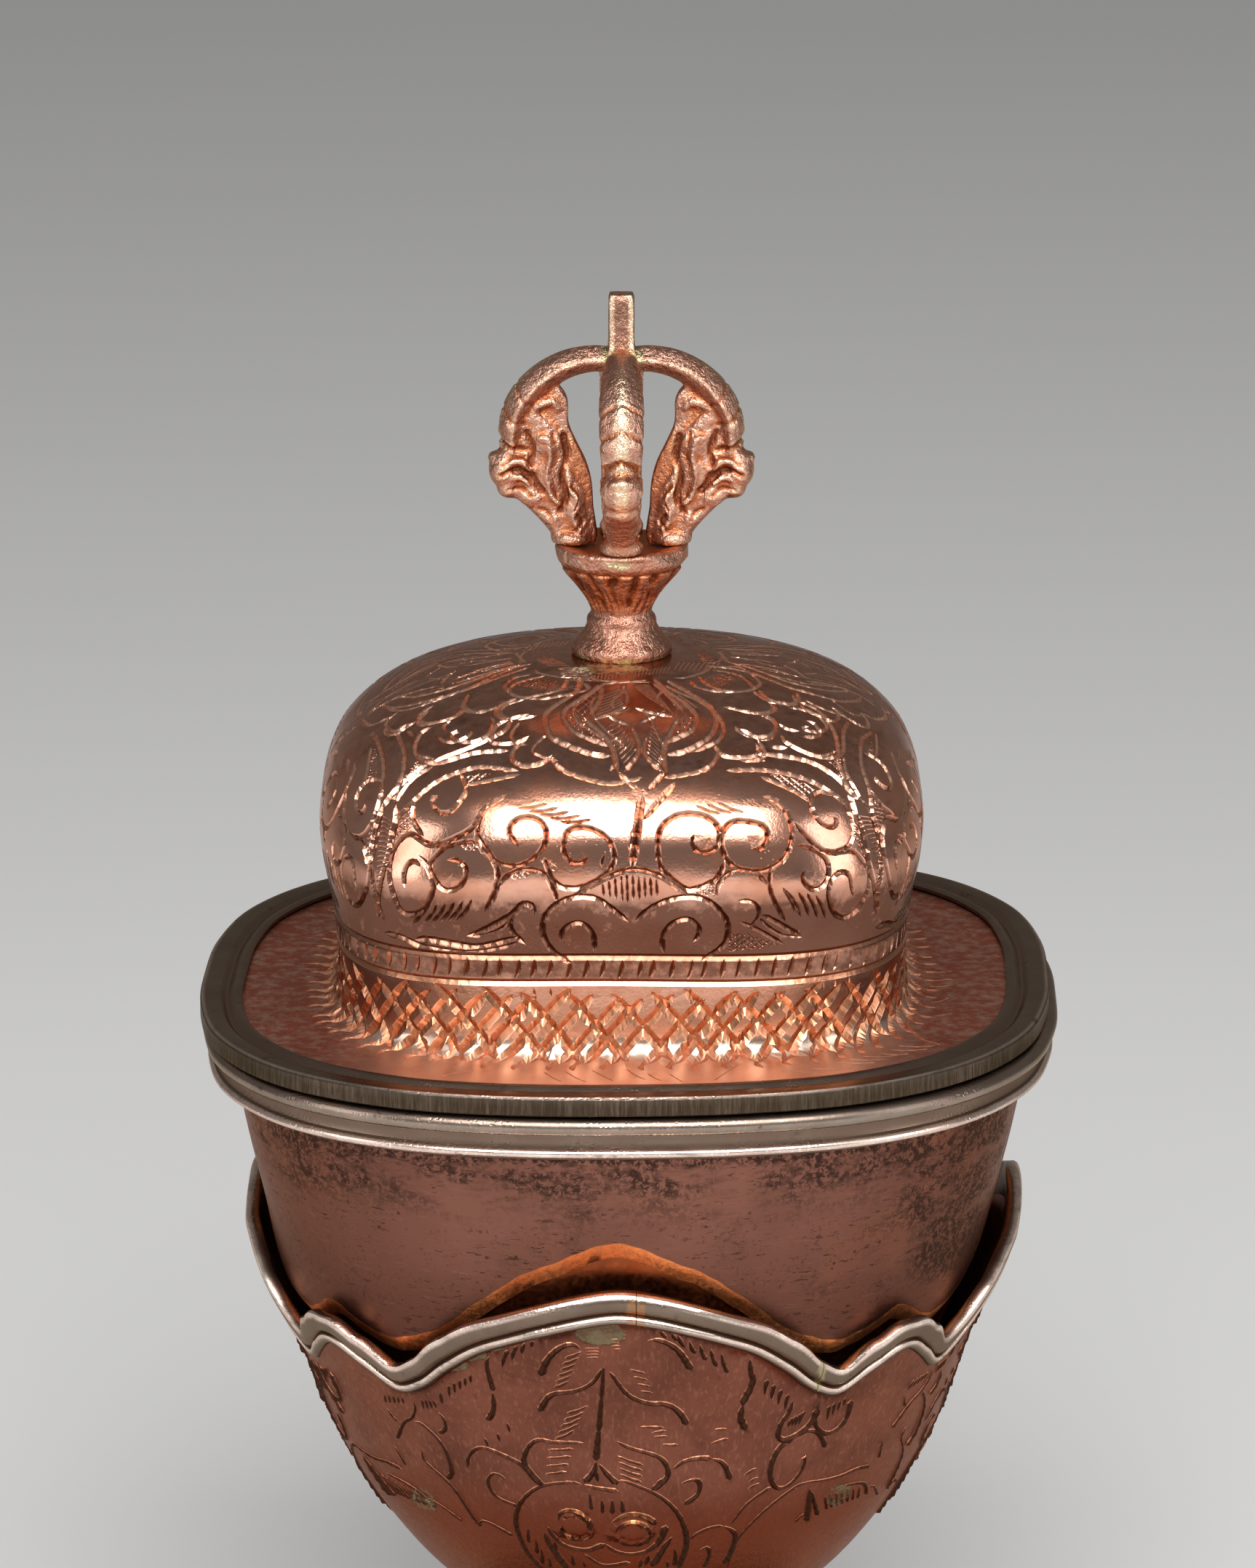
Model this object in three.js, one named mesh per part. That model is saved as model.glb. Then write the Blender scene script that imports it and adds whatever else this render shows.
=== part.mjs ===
import * as THREE from 'three';

// Skull cup with lid and holder, in millimetres, +Z up, front towards -Y.
// The holder stands on a foot, the cup stands in the holder and the lid rests on the cup's rim.

// Sizes shared by several pieces
const clearance = 0.3;
const copperWall = 1.2;
const rimHalfWidth = 52;
const roundSegments = 28;
const waveSegments = 64;
const cupSegments = 44;
const bevel = 0.4;

// Foot and stem
const footRimHalfWidth = 36;
const footRimHeight = 5;
const footRimWidth = 4.6;
const footConeHeight = 17;
const footConeTopRadius = 9.5;
const footWall = 1.4;
const stemHeight = 12;
const stemNeckRadius = 7.6;
const stemKnopRadius = 12.4;
const stemPlateInset = 0.1;
const stemPlateRadius = footConeTopRadius - stemPlateInset;

// Cup and the holder round it
const rimOverhang = 4.1;
const cupHalfWidth = rimHalfWidth - rimOverhang;
const cupHeight = 78.6;
const cupBaseInset = 0.8;
const holderTuck = 0.7;
const holderHalfWidth = cupHalfWidth - holderTuck;
const holderHillDrop = 26.8;
const holderHillHeight = copperWall + clearance + cupHeight - holderHillDrop;
const holderShift = 0.55;
const holderBaseRadius = stemPlateRadius;
const holderFloorInset = 2.2;
const holderFloorRadius = holderBaseRadius - holderFloorInset;
const cupBaseRadius = holderFloorRadius - cupBaseInset;
const waveDepth = 12.4;
const waveTurn = -0.045;
const trimHeight = 3.8;
const trimWidth = 2;

// Details of the cup
const cupShift = 0.15;
const cupRimLap = 0.4;
const skinWall = 1;
const skinHillDepth = 18.3;
const skinWaveDepth = 14.8;
const skinBevel = 0.7;
const rimBandHeight = 5.6;
const rimBandInset = 5.4;
const rimBeadRadius = 0.95;
const rimLowerBeadRadius = 0.6;
const rimCoveDepth = 1.3;

// Lid
const lidShift = -0.55;
const domeShift = -0.6;
const lidRingHeight = 2.35;
const lidRingWidth = 5.2;
const lidRingFlat = 2.5;
const lidRingCoveWidth = 1.5;
const lidRingCoveDepth = 0.5;
const lidRebate = 1.5;
const lidPlateDepth = 0.8;
const lidSheet = 1;
const lidPlateWidth = 10.2;
const domeHalfWidth = rimHalfWidth - lidRingWidth - lidPlateWidth;
const domeHeight = 41;
const domeFootFillet = 2.6;
const domeFootLap = 1.5;
const collarDepth = 4;
const collarWall = 1;
const collarPlay = 1.2;

// Finial
const finialFlangeRadius = 6.15;
const finialStemHeight = 13.4;
const finialNeckRadius = 3.75;
const lotusRadius = 8.05;
const lotusDishDepth = 0.5;
const coreHalfWidth = 1.7;
const coreBulbHalfWidth = 2.1;
const prongOverhang = 8.15;
const prongReach = lotusRadius + prongOverhang;
const prongHeight = 24.2;
const coreTipRise = 6.2;
const coreHeight = lotusDishDepth + prongHeight + coreTipRise;
const prongHalfWidth = 2.9;
const prongSegments = 10;
const prongSteps = 16;

// Heights of the joints between the pieces, from the table up
const coneBase = footRimHeight + clearance;
const stemBase = coneBase + footConeHeight + clearance;
const holderBase = stemBase + stemHeight + clearance;
const cupBase = holderBase + copperWall + clearance;
const rimTop = cupBase + cupHeight;
const bandBottom = rimTop - rimBandHeight;
const lidRingBase = rimTop + clearance;
const lidTop = lidRingBase + lidRingHeight;
const plateTop = lidTop - lidPlateDepth;
const domeTop = plateTop + domeHeight;
const finialBase = domeTop + clearance;
const lotusTop = finialBase + finialStemHeight;
const prongBase = lotusTop + clearance;

// Plan of the cup: a rounded square drawn as radius shares every fifteen degrees over half a turn
const planShares = [0.994, 1.025, 1.079, 1.104, 1.078, 1.029, 1.002, 1.016, 1.051, 1.068, 1.05, 1.011];
const planStep = Math.PI / planShares.length;

// Wavy edges: drop below the hills as shares of the depth, every five degrees from hill to corner
const trimWaveShares = [0, 0.05, 0.14, 0.25, 0.39, 0.62, 0.88, 0.99, 0.78, 0.6];
const skinWaveShares = [0, 0.08, 0.2, 0.36, 0.55, 0.77, 0.94, 1, 0.93, 0.8];
const waveReach = Math.PI / 4;

// Reads a smooth value out of a table whose entries lie evenly from 0 to 1; it runs level into both ends.
function smoothAt(table, place) {
  const last = table.length - 1;
  const at = Math.min(Math.max(place, 0), 1) * last;
  const index = Math.min(Math.floor(at), last - 1);
  const before = index > 0 ? table[index - 1] : table[1];
  const after = index + 2 <= last ? table[index + 2] : table[last - 1];
  return catmull(before, table[index], table[index + 1], after, at - index);
}

function catmull(before, from, to, after, t) {
  const slopeFrom = (to - before) / 2;
  const slopeTo = (after - from) / 2;
  const rise = 3 * (to - from) - 2 * slopeFrom - slopeTo;
  const bend = 2 * (from - to) + slopeFrom + slopeTo;
  return from + slopeFrom * t + rise * t * t + bend * t * t * t;
}

// Straight reading of one column of shares against another.
function lineAt(places, values, place) {
  if (place <= places[0]) {
    return values[0];
  }
  for (let i = 1; i < places.length; i += 1) {
    if (place <= places[i]) {
      const part = (place - places[i - 1]) / (places[i] - places[i - 1]);
      return values[i - 1] + (values[i] - values[i - 1]) * part;
    }
  }
  return values[values.length - 1];
}

function planShareAt(angle) {
  const count = planShares.length;
  const at = (((angle % Math.PI) + Math.PI) % Math.PI) / planStep;
  const index = Math.floor(at);
  const pick = (offset) => planShares[(index + offset + count) % count];
  return catmull(pick(-1), pick(0), pick(1), pick(2), at - index);
}

// Radius of the cup's plan; squareness 0 gives a circle and 1 the full rounded square.
function planRadius(angle, halfWidth, squareness) {
  return halfWidth * (1 + squareness * (planShareAt(angle) - 1));
}

// Radius share of a superellipse, used for the dome.
function squareShare(angle, power) {
  const sum = Math.abs(Math.cos(angle)) ** power + Math.abs(Math.sin(angle)) ** power;
  return sum ** (-1 / power);
}

// Share of the way from a hill, in the middle of a side, to the corner of the plan.
function wavePlace(angle) {
  const quarter = Math.PI / 2;
  const turned = (((angle - waveTurn) % quarter) + quarter) % quarter;
  return Math.min(turned, quarter - turned) / waveReach;
}

// Builds a closed body from rows. A row gives radius, height and perhaps a sideways shift for an angle.
// Rows that reach the axis at the ends close the body there; otherwise the last row joins the first.
function turnedBody(rows, segments, onAxis) {
  const positions = [];
  const indices = [];
  const angleAt = (step) => (step / segments) * 2 * Math.PI;
  const ringStart = [];
  rows.forEach((row, i) => {
    ringStart.push(positions.length / 3);
    const isPole = onAxis && (i === 0 || i === rows.length - 1);
    const steps = isPole ? 1 : segments;
    for (let k = 0; k < steps; k += 1) {
      const angle = angleAt(k);
      const [radius, height, shift = 0] = row(angle);
      const reach = isPole ? 0 : radius;
      positions.push(reach * Math.cos(angle) + shift, reach * Math.sin(angle), height);
    }
  });
  const joins = onAxis ? rows.length - 1 : rows.length;
  for (let i = 0; i < joins; i += 1) {
    const lower = i;
    const upper = (i + 1) % rows.length;
    for (let k = 0; k < segments; k += 1) {
      const next = (k + 1) % segments;
      const a = ringStart[lower] + k;
      const b = ringStart[lower] + next;
      const c = ringStart[upper] + next;
      const d = ringStart[upper] + k;
      if (onAxis && lower === 0) {
        indices.push(ringStart[lower], c, d);
      } else if (onAxis && upper === rows.length - 1) {
        indices.push(a, b, ringStart[upper]);
      } else {
        indices.push(a, b, c, a, c, d);
      }
    }
  }
  return facingOut(positions, indices);
}

// Builds a bar from cross-sections. Every section is a list of points in space with the same count.
function barBody(sections) {
  const positions = [];
  const indices = [];
  const count = sections[0].length;
  sections.forEach((section) => section.forEach((point) => positions.push(...point)));
  for (let i = 0; i + 1 < sections.length; i += 1) {
    for (let k = 0; k < count; k += 1) {
      const next = (k + 1) % count;
      const a = i * count + k;
      const b = i * count + next;
      indices.push(a, b, b + count, a, b + count, a + count);
    }
  }
  capEnd(sections[0], 0, indices, positions, true);
  capEnd(sections[sections.length - 1], (sections.length - 1) * count, indices, positions, false);
  return facingOut(positions, indices);
}

// Closes one end of a bar with a fan around the middle of the section.
function capEnd(section, start, indices, positions, isFirst) {
  const count = section.length;
  const middle = [0, 1, 2].map((axis) => section.reduce((sum, point) => sum + point[axis], 0) / count);
  const hub = positions.length / 3;
  positions.push(...middle);
  for (let k = 0; k < count; k += 1) {
    const next = (k + 1) % count;
    if (isFirst) {
      indices.push(start + next, start + k, hub);
    } else {
      indices.push(start + k, start + next, hub);
    }
  }
}

// Makes an indexed geometry whose faces look outwards.
function facingOut(positions, indices) {
  let volume = 0;
  const corner = (index) => new THREE.Vector3().fromArray(positions, index * 3);
  for (let i = 0; i < indices.length; i += 3) {
    const cross = corner(indices[i + 1]).cross(corner(indices[i + 2]));
    volume += corner(indices[i]).dot(cross);
  }
  const ordered = [...indices];
  if (volume < 0) {
    for (let i = 0; i < ordered.length; i += 3) {
      ordered[i + 1] = indices[i + 2];
      ordered[i + 2] = indices[i + 1];
    }
  }
  const geometry = new THREE.BufferGeometry();
  geometry.setAttribute('position', new THREE.Float32BufferAttribute(positions, 3));
  geometry.setIndex(ordered);
  geometry.computeVertexNormals();
  return geometry;
}

function latheBody(points, segments = roundSegments) {
  const outline = points.map(([radius, height]) => new THREE.Vector2(radius, height));
  const geometry = new THREE.LatheGeometry(outline, segments);
  geometry.rotateX(Math.PI / 2);
  return geometry;
}

const copper = { color: 0xb9775f, metalness: 1, roughness: 0.34 };
const whiteMetal = { color: 0xa8a297, metalness: 1, roughness: 0.38 };
const brownCopper = { color: 0x7c5548, metalness: 1, roughness: 0.5 };

function piece(name, geometry, finish) {
  const mesh = new THREE.Mesh(geometry, new THREE.MeshStandardMaterial(finish));
  mesh.name = name;
  return mesh;
}

// Foot: a flat white metal band that stands on the table, and a flaring copper cone on it
function footRim() {
  const outer = footRimHalfWidth;
  const inner = outer - footRimWidth;
  const outlineShares = [
    [0, 0],
    [1, 0],
    [1, 0.12],
    [0.9, 0.2],
    [0.9, 0.32],
    [0.98, 0.42],
    [0.98, 0.56],
    [0.8, 0.68],
    [0.62, 0.74],
    [0.62, 0.92],
    [0.5, 1],
    [0, 1],
    [0, 0],
  ];
  const at = ([reach, rise]) => [inner + footRimWidth * reach, footRimHeight * rise];
  return piece('foot_rim', latheBody(outlineShares.map(at), cupSegments), whiteMetal);
}

// Radius share of the cone from its lower edge to its top.
const coneRadiusShares = [1, 0.81, 0.56, 0.36, 0.22, 0.09, 0];

function footCone() {
  const lower = footRimHalfWidth - footRimWidth * 0.56;
  const flare = lower - footConeTopRadius;
  const steps = coneRadiusShares.length - 1;
  const outside = coneRadiusShares.map((share, i) => [
    footConeTopRadius + flare * share,
    coneBase + (footConeHeight * i) / steps,
  ]);
  const bore = footConeTopRadius - footWall;
  const inside = outside.map(([radius, height], i) => {
    const isEnd = i === 0 || i === steps;
    return [Math.max(radius - footWall, bore), isEnd ? height : height - footWall / 2];
  });
  const outline = [...outside, ...inside.reverse(), outside[0]];
  return piece('foot_cone', latheBody(outline, cupSegments), copper);
}

function stem() {
  const outlineShares = [
    [stemPlateRadius, 0],
    [stemPlateRadius, 0.1],
    [stemNeckRadius, 0.18],
    [stemNeckRadius, 0.26],
    [stemKnopRadius, 0.4],
    [stemKnopRadius + bevel, 0.5],
    [stemKnopRadius, 0.6],
    [stemNeckRadius, 0.76],
    [stemNeckRadius, 0.84],
    [stemPlateRadius, 0.92],
    [stemPlateRadius, 1],
  ];
  const outside = outlineShares.map(([radius, share]) => [radius, stemBase + stemHeight * share]);
  const outline = [[0, stemBase], ...outside, [0, stemBase + stemHeight]];
  return piece('stem', latheBody(outline), copper);
}

// Holder: outer radius against height, as shares of the way from the base to the hills
const holderPlaceShares = [0, 0.02, 0.08, 0.15, 0.24, 0.41, 0.54, 0.69, 0.8, 0.91, 1];
const holderRadiusShares = [0, 0.16, 0.3, 0.42, 0.53, 0.685, 0.77, 0.84, 0.895, 0.96, 1];

function holderRadiusAt(height) {
  const place = (height - holderBase) / holderHillHeight;
  const share = lineAt(holderPlaceShares, holderRadiusShares, place);
  return holderBaseRadius + (holderHalfWidth - holderBaseRadius) * share;
}

// The plan turns from round at the base of the holder to the full rounded square at the rim.
function squarenessAt(height) {
  const share = Math.min(Math.max((height - holderBase) / (rimTop - holderBase), 0), 1);
  return share * share * (3 - 2 * share);
}

function holderOutline(angle, height) {
  return planRadius(angle, holderRadiusAt(height), squarenessAt(height));
}

// Height of the holder's own edge, under the moulding.
function holderEdge(angle) {
  return holderBase + holderHillHeight - waveDepth * smoothAt(trimWaveShares, wavePlace(angle));
}

function holderCup() {
  const climbShares = [0, 0.04, 0.13, 0.25, 0.42, 0.62, 0.81, 1];
  const wallRow = (share, inset) => (angle) => {
    const height = holderBase + (holderEdge(angle) - holderBase) * share;
    return [holderOutline(angle, height) - inset, height];
  };
  const floor = holderBase + copperWall;
  const rows = [() => [0, holderBase]];
  climbShares.forEach((share) => rows.push(wallRow(share, 0)));
  climbShares
    .slice(2)
    .reverse()
    .forEach((share) => rows.push(innerRow(share, wallRow(share, copperWall), floor)));
  rows.push(() => [holderFloorRadius, floor]);
  rows.push(() => [0, floor]);
  return piece('holder_cup', turnedBody(rows, waveSegments, true), copper);
}

// The inner wall never runs below the floor.
function innerRow(share, row, floor) {
  return (angle) => {
    const [radius, height] = row(angle);
    return [radius, Math.max(height, floor + copperWall * share)];
  };
}

// Cross-section of the wavy moulding: a large bead over a small one, as shares of width and height
const trimSectionShares = [
  [0, 0],
  [0.76, 0],
  [0.92, 0.1],
  [0.88, 0.24],
  [0.66, 0.35],
  [0.96, 0.5],
  [1, 0.7],
  [0.88, 0.92],
  [0.6, 1],
  [0, 1],
];

function trimSection(angle) {
  const nudge = 0.01;
  const rise = holderEdge(angle + nudge) - holderEdge(angle - nudge);
  const run = 2 * nudge * holderHalfWidth;
  const stretch = Math.hypot(rise, run) / run;
  const base = holderEdge(angle) + clearance;
  return trimSectionShares.map(([across, up]) => {
    const height = base + trimHeight * stretch * up;
    const radius = holderOutline(angle, height) - copperWall + trimWidth * across;
    return [radius * Math.cos(angle), radius * Math.sin(angle), height];
  });
}

// The moulding is bent from two lengths that meet at the front hill and in the right front valley.
const seamFront = -waveSegments / 4;
const seamValley = -Math.round(waveSegments / 6);

function trimLength(name, from, to) {
  const gap = clearance / holderHalfWidth / 2;
  const sections = [];
  for (let step = from; step <= to; step += 1) {
    const angle = (step / waveSegments) * 2 * Math.PI;
    const trim = (step === from ? gap : 0) - (step === to ? gap : 0);
    sections.push(trimSection(angle + trim));
  }
  return piece(name, barBody(sections), whiteMetal);
}

// Cup: outer radius of the vessel against height, as shares
const cupPlaceShares = [0, 0.03, 0.09, 0.17, 0.26, 0.35, 0.45, 0.55, 0.61, 0.73, 0.83, 0.93, 1];
const cupRadiusShares = [0, 0.135, 0.3, 0.45, 0.57, 0.665, 0.745, 0.822, 0.865, 0.911, 0.954, 0.988, 1];

function cupRadiusAt(height) {
  const share = lineAt(cupPlaceShares, cupRadiusShares, (height - cupBase) / cupHeight);
  return cupBaseRadius + (cupHalfWidth - cupBaseRadius) * share;
}

function cupOutline(angle, height) {
  return planRadius(angle, cupRadiusAt(height), squarenessAt(height));
}

function cupBody() {
  const top = rimTop - rimBandInset / 4 - clearance;
  const wallRow = (share, inset) => (angle) => {
    const height = cupBase + (top - cupBase) * share;
    return [cupOutline(angle, height) - inset, height];
  };
  const floor = cupBase + copperWall;
  const rows = [() => [0, cupBase], wallRow(0, 0)];
  const climbShares = [0.03, 0.09, 0.18, 0.3, 0.44, 0.58, 0.72, 0.86, 1];
  climbShares.forEach((share) => rows.push(wallRow(share, 0)));
  const downShares = climbShares.slice(1).reverse();
  downShares.forEach((share) => rows.push(innerRow(share, wallRow(share, copperWall), floor)));
  rows.push(() => [cupBaseRadius / 2, floor]);
  rows.push(() => [0, floor]);
  return piece('cup_body', turnedBody(rows, cupSegments, true), brownCopper);
}

function skinEdge(angle) {
  const drop = skinWaveDepth * smoothAt(skinWaveShares, wavePlace(angle));
  return rimTop - skinHillDepth - drop;
}

// Outer skin: a copper sleeve over the vessel, with a rough filed bevel along its wavy lower edge
function cupSkin() {
  const top = rimTop - rimBandInset / 4 - clearance;
  const gap = clearance;
  const row = (share, inset, lift) => (angle) => {
    const edge = skinEdge(angle) + lift;
    const height = edge + (top - edge) * share;
    return [cupOutline(angle, height) + gap + inset, height];
  };
  const climbShares = [0, 0.33, 0.67, 1];
  const rows = [row(0, 0, 0)];
  climbShares.forEach((share) => rows.push(row(share, skinWall, skinBevel)));
  climbShares
    .slice(1)
    .reverse()
    .forEach((share) => rows.push(row(share, 0, 0)));
  return piece('cup_skin', turnedBody(rows, waveSegments, false), brownCopper);
}

// Rim band: white metal, a large bead over a cove and a small bead, lapping over skin and vessel
function rimBand() {
  const skinOuter = (angle) => cupOutline(angle, rimTop) + clearance + skinWall;
  const lip = rimTop - rimBandInset / 4;
  const edge = (inset) => (angle) => planRadius(angle, rimHalfWidth + cupRimLap, 1) - inset;
  const upperBead = rimTop - rimBeadRadius * 1.5;
  const lowerBead = bandBottom + rimLowerBeadRadius * 1.6;
  const rows = [
    (angle) => [edge(rimBandInset)(angle), rimTop],
    (angle) => [edge(rimBeadRadius * 2.4)(angle), rimTop],
    (angle) => [edge(rimBeadRadius)(angle), rimTop - bevel],
    (angle) => [edge(rimBeadRadius / 4)(angle), upperBead + rimBeadRadius / 2],
    (angle) => [edge(0)(angle), upperBead],
    (angle) => [edge(rimBeadRadius / 3)(angle), upperBead - rimBeadRadius * 0.7],
    (angle) => [edge(rimCoveDepth)(angle), upperBead - rimBeadRadius * 1.2],
    (angle) => [edge(rimCoveDepth)(angle), lowerBead + rimLowerBeadRadius],
    (angle) => [edge(rimLowerBeadRadius)(angle), lowerBead + rimLowerBeadRadius / 2],
    (angle) => [edge(rimLowerBeadRadius)(angle), lowerBead - rimLowerBeadRadius / 2],
    (angle) => [edge(rimCoveDepth)(angle), lowerBead - rimLowerBeadRadius],
    (angle) => [skinOuter(angle) + bevel + clearance, bandBottom],
    (angle) => [skinOuter(angle) + clearance, bandBottom],
    (angle) => [skinOuter(angle) + clearance, lip],
    (angle) => [edge(rimBandInset)(angle), lip],
  ];
  return piece('rim_band', turnedBody(rows, cupSegments, false), whiteMetal);
}

// Lid ring: square outer side, flat top, a cove and an inner bead, with a rebate for the plate
function lidRing() {
  const at = (inset, drop) => (angle) => [planRadius(angle, rimHalfWidth, 1) - inset, lidTop - drop];
  const bead = lidRingFlat + lidRingCoveWidth;
  const rebateDrop = lidPlateDepth - clearance;
  const rows = [
    at(bevel, 0),
    at(lidRingFlat, 0),
    at(lidRingFlat + lidRingCoveWidth * 0.3, lidRingCoveDepth),
    at(lidRingFlat + lidRingCoveWidth * 0.7, lidRingCoveDepth),
    at(bead, 0),
    at(lidRingWidth - bevel / 2, 0),
    at(lidRingWidth, rebateDrop),
    at(lidRingWidth - lidRebate, rebateDrop),
    at(lidRingWidth - lidRebate, lidRingHeight),
    at(0, lidRingHeight),
    at(0, bevel),
  ];
  return piece('lid_ring', turnedBody(rows, cupSegments, false), whiteMetal);
}

// Lid sheet: plate and dome raised from one sheet of copper.
// Dome outline from the plate up, as shares of half width and height, with the power of its plan.
const domeShares = [
  [0.965, 0.02, 3.2],
  [0.945, 0.06, 3.4],
  [0.943, 0.15, 3.6],
  [0.948, 0.26, 3.8],
  [0.965, 0.36, 3.6],
  [0.99, 0.46, 3.4],
  [1, 0.54, 3.2],
  [0.99, 0.63, 3],
  [0.955, 0.72, 2.9],
  [0.89, 0.8, 2.7],
  [0.79, 0.87, 2.6],
  [0.66, 0.925, 2.4],
  [0.5, 0.962, 2.2],
  [0.33, 0.984, 2.1],
  [0.17, 0.996, 2],
];

function domeRow([radiusShare, heightShare, power], thinner) {
  return (angle) => [
    (domeHalfWidth * radiusShare - thinner) * squareShare(angle, power),
    plateTop + domeHeight * heightShare - thinner * Math.max(heightShare * 1.25 - 0.25, 0),
    domeShift,
  ];
}

function plateEdge(angle) {
  return planRadius(angle, rimHalfWidth, 1) - lidRingWidth + lidRebate - clearance;
}

function lidSheetBody() {
  const underside = plateTop - lidSheet;
  const footShare = domeShares[0][0];
  const footHalf = domeHalfWidth * footShare;
  const foot = (lap, height) => (angle) => [
    (footHalf + lap) * squareShare(angle, domeShares[0][2]),
    height,
    domeShift,
  ];
  const rows = [() => [0, domeTop, domeShift]];
  [...domeShares].reverse().forEach((share) => rows.push(domeRow(share, 0)));
  rows.push(foot(domeFootFillet / 3, plateTop + bevel / 2));
  rows.push(foot(domeFootLap + domeFootFillet / 2, plateTop));
  rows.push((angle) => [plateEdge(angle), plateTop]);
  rows.push((angle) => [plateEdge(angle), underside]);
  rows.push(foot(domeFootLap, underside));
  rows.push(foot(-lidSheet, underside + bevel));
  domeShares
    .filter((share, i) => i % 2 === 1)
    .forEach((share) => rows.push(domeRow(share, lidSheet)));
  rows.push(() => [0, domeTop - lidSheet, domeShift]);
  return piece('lid_sheet', turnedBody(rows, cupSegments, true), copper);
}

// Collar under the lid that drops inside the cup's rim and keeps the lid in place
function lidCollar() {
  const inset = rimBandInset + collarPlay + cupShift - lidShift;
  const outer = (angle) => planRadius(angle, rimHalfWidth, 1) - inset;
  const top = plateTop - lidSheet - clearance;
  const bottom = top - collarDepth;
  const rows = [
    (angle) => [outer(angle) - collarWall, bottom],
    (angle) => [outer(angle) - bevel, bottom],
    (angle) => [outer(angle), bottom + bevel],
    (angle) => [outer(angle), top],
    (angle) => [outer(angle) - collarWall, top],
  ];
  return piece('lid_collar', turnedBody(rows, cupSegments, false), copper);
}

// Finial stem: flared flange, neck and the lotus bowl with its double bead
function finialStem() {
  const outline = [
    [0, 0],
    [finialFlangeRadius, 0],
    [finialFlangeRadius, 0.04],
    [finialFlangeRadius * 0.9, 0.11],
    [finialFlangeRadius * 0.76, 0.2],
    [finialNeckRadius * 1.08, 0.27],
    [finialNeckRadius * 1.1, 0.3],
    [finialNeckRadius, 0.34],
    [finialNeckRadius, 0.4],
    [lotusRadius * 0.53, 0.5],
    [lotusRadius * 0.68, 0.62],
    [lotusRadius * 0.85, 0.73],
    [lotusRadius * 0.94, 0.79],
    [lotusRadius * 0.96, 0.84],
    [lotusRadius * 0.92, 0.89],
    [lotusRadius * 0.99, 0.93],
    [lotusRadius, 0.97],
    [lotusRadius * 0.97, 1],
    [lotusRadius * 0.8, 1],
  ];
  const points = outline.map(([radius, share]) => [radius, finialBase + finialStemHeight * share]);
  points.push([lotusRadius * 0.7, lotusTop - lotusDishDepth]);
  points.push([0, lotusTop - lotusDishDepth]);
  return piece('finial_stem', latheBody(points, roundSegments), copper);
}

// Square centre prong on a small swelling: half width against the share of the height
const coreOutlineShares = [
  [coreBulbHalfWidth, 0],
  [coreBulbHalfWidth, 0.1],
  [coreHalfWidth, 0.25],
  [coreHalfWidth, 0.96],
  [coreHalfWidth * 0.9, 1],
];

function finialCore() {
  const base = lotusTop - lotusDishDepth + clearance;
  const sections = coreOutlineShares.map(([half, heightShare]) => {
    const height = base + coreHeight * heightShare;
    return [
      [-half, -half, height],
      [half, -half, height],
      [half, half, height],
      [-half, half, height],
    ];
  });
  return piece('finial_core', barBody(sections), copper);
}

// Outer prong, drawn in its own upright plane as shares of reach and height:
// a point on the inner edge, the point across it on the outer edge, and the half width there.
const prongShares = [
  [0.19, 0, 0.48, 0, 0.6],
  [0.19, 0.14, 0.59, 0.1, 0.75],
  [0.2, 0.26, 0.86, 0.195, 0.95],
  [0.26, 0.365, 0.975, 0.29, 1],
  [0.32, 0.47, 1, 0.42, 1],
  [0.37, 0.55, 0.915, 0.51, 0.88],
  [0.41, 0.645, 0.9, 0.63, 0.8],
  [0.41, 0.73, 0.84, 0.75, 0.72],
  [0.37, 0.79, 0.69, 0.86, 0.64],
  [0.285, 0.82, 0.47, 0.94, 0.6],
  [0.125, 0.835, 0.125, 1, 0.58],
];

function prongColumn(column, place) {
  return smoothAt(prongShares.map((row) => row[column]), place);
}

function prongSection(place, turn) {
  const inner = new THREE.Vector2(prongReach * prongColumn(0, place), prongHeight * prongColumn(1, place));
  const outer = new THREE.Vector2(prongReach * prongColumn(2, place), prongHeight * prongColumn(3, place));
  const wide = prongHalfWidth * prongColumn(4, place);
  const section = [];
  for (let k = 0; k < prongSegments; k += 1) {
    const angle = (2 * Math.PI * (k + 0.5)) / prongSegments;
    const across = (1 + roundedShare(Math.cos(angle))) / 2;
    const side = roundedShare(Math.sin(angle)) * wide;
    const point = inner.clone().lerp(outer, across);
    const reach = Math.max(point.x, coreHalfWidth + clearance);
    section.push([
      reach * Math.cos(turn) - side * Math.sin(turn),
      reach * Math.sin(turn) + side * Math.cos(turn),
      prongBase + Math.max(point.y, 0),
    ]);
  }
  return section;
}

// Turns the round section of a prong into a rounded bar.
function roundedShare(value) {
  return Math.sign(value) * Math.abs(value) ** 0.7;
}

function finialProng(name, turn) {
  const sections = [];
  for (let i = 0; i <= prongSteps; i += 1) {
    sections.push(prongSection(i / prongSteps, turn));
  }
  return piece(name, barBody(sections), copper);
}

function shifted(meshes, shift) {
  meshes.forEach((mesh) => mesh.geometry.translate(shift, 0, 0));
  return meshes;
}

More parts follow.
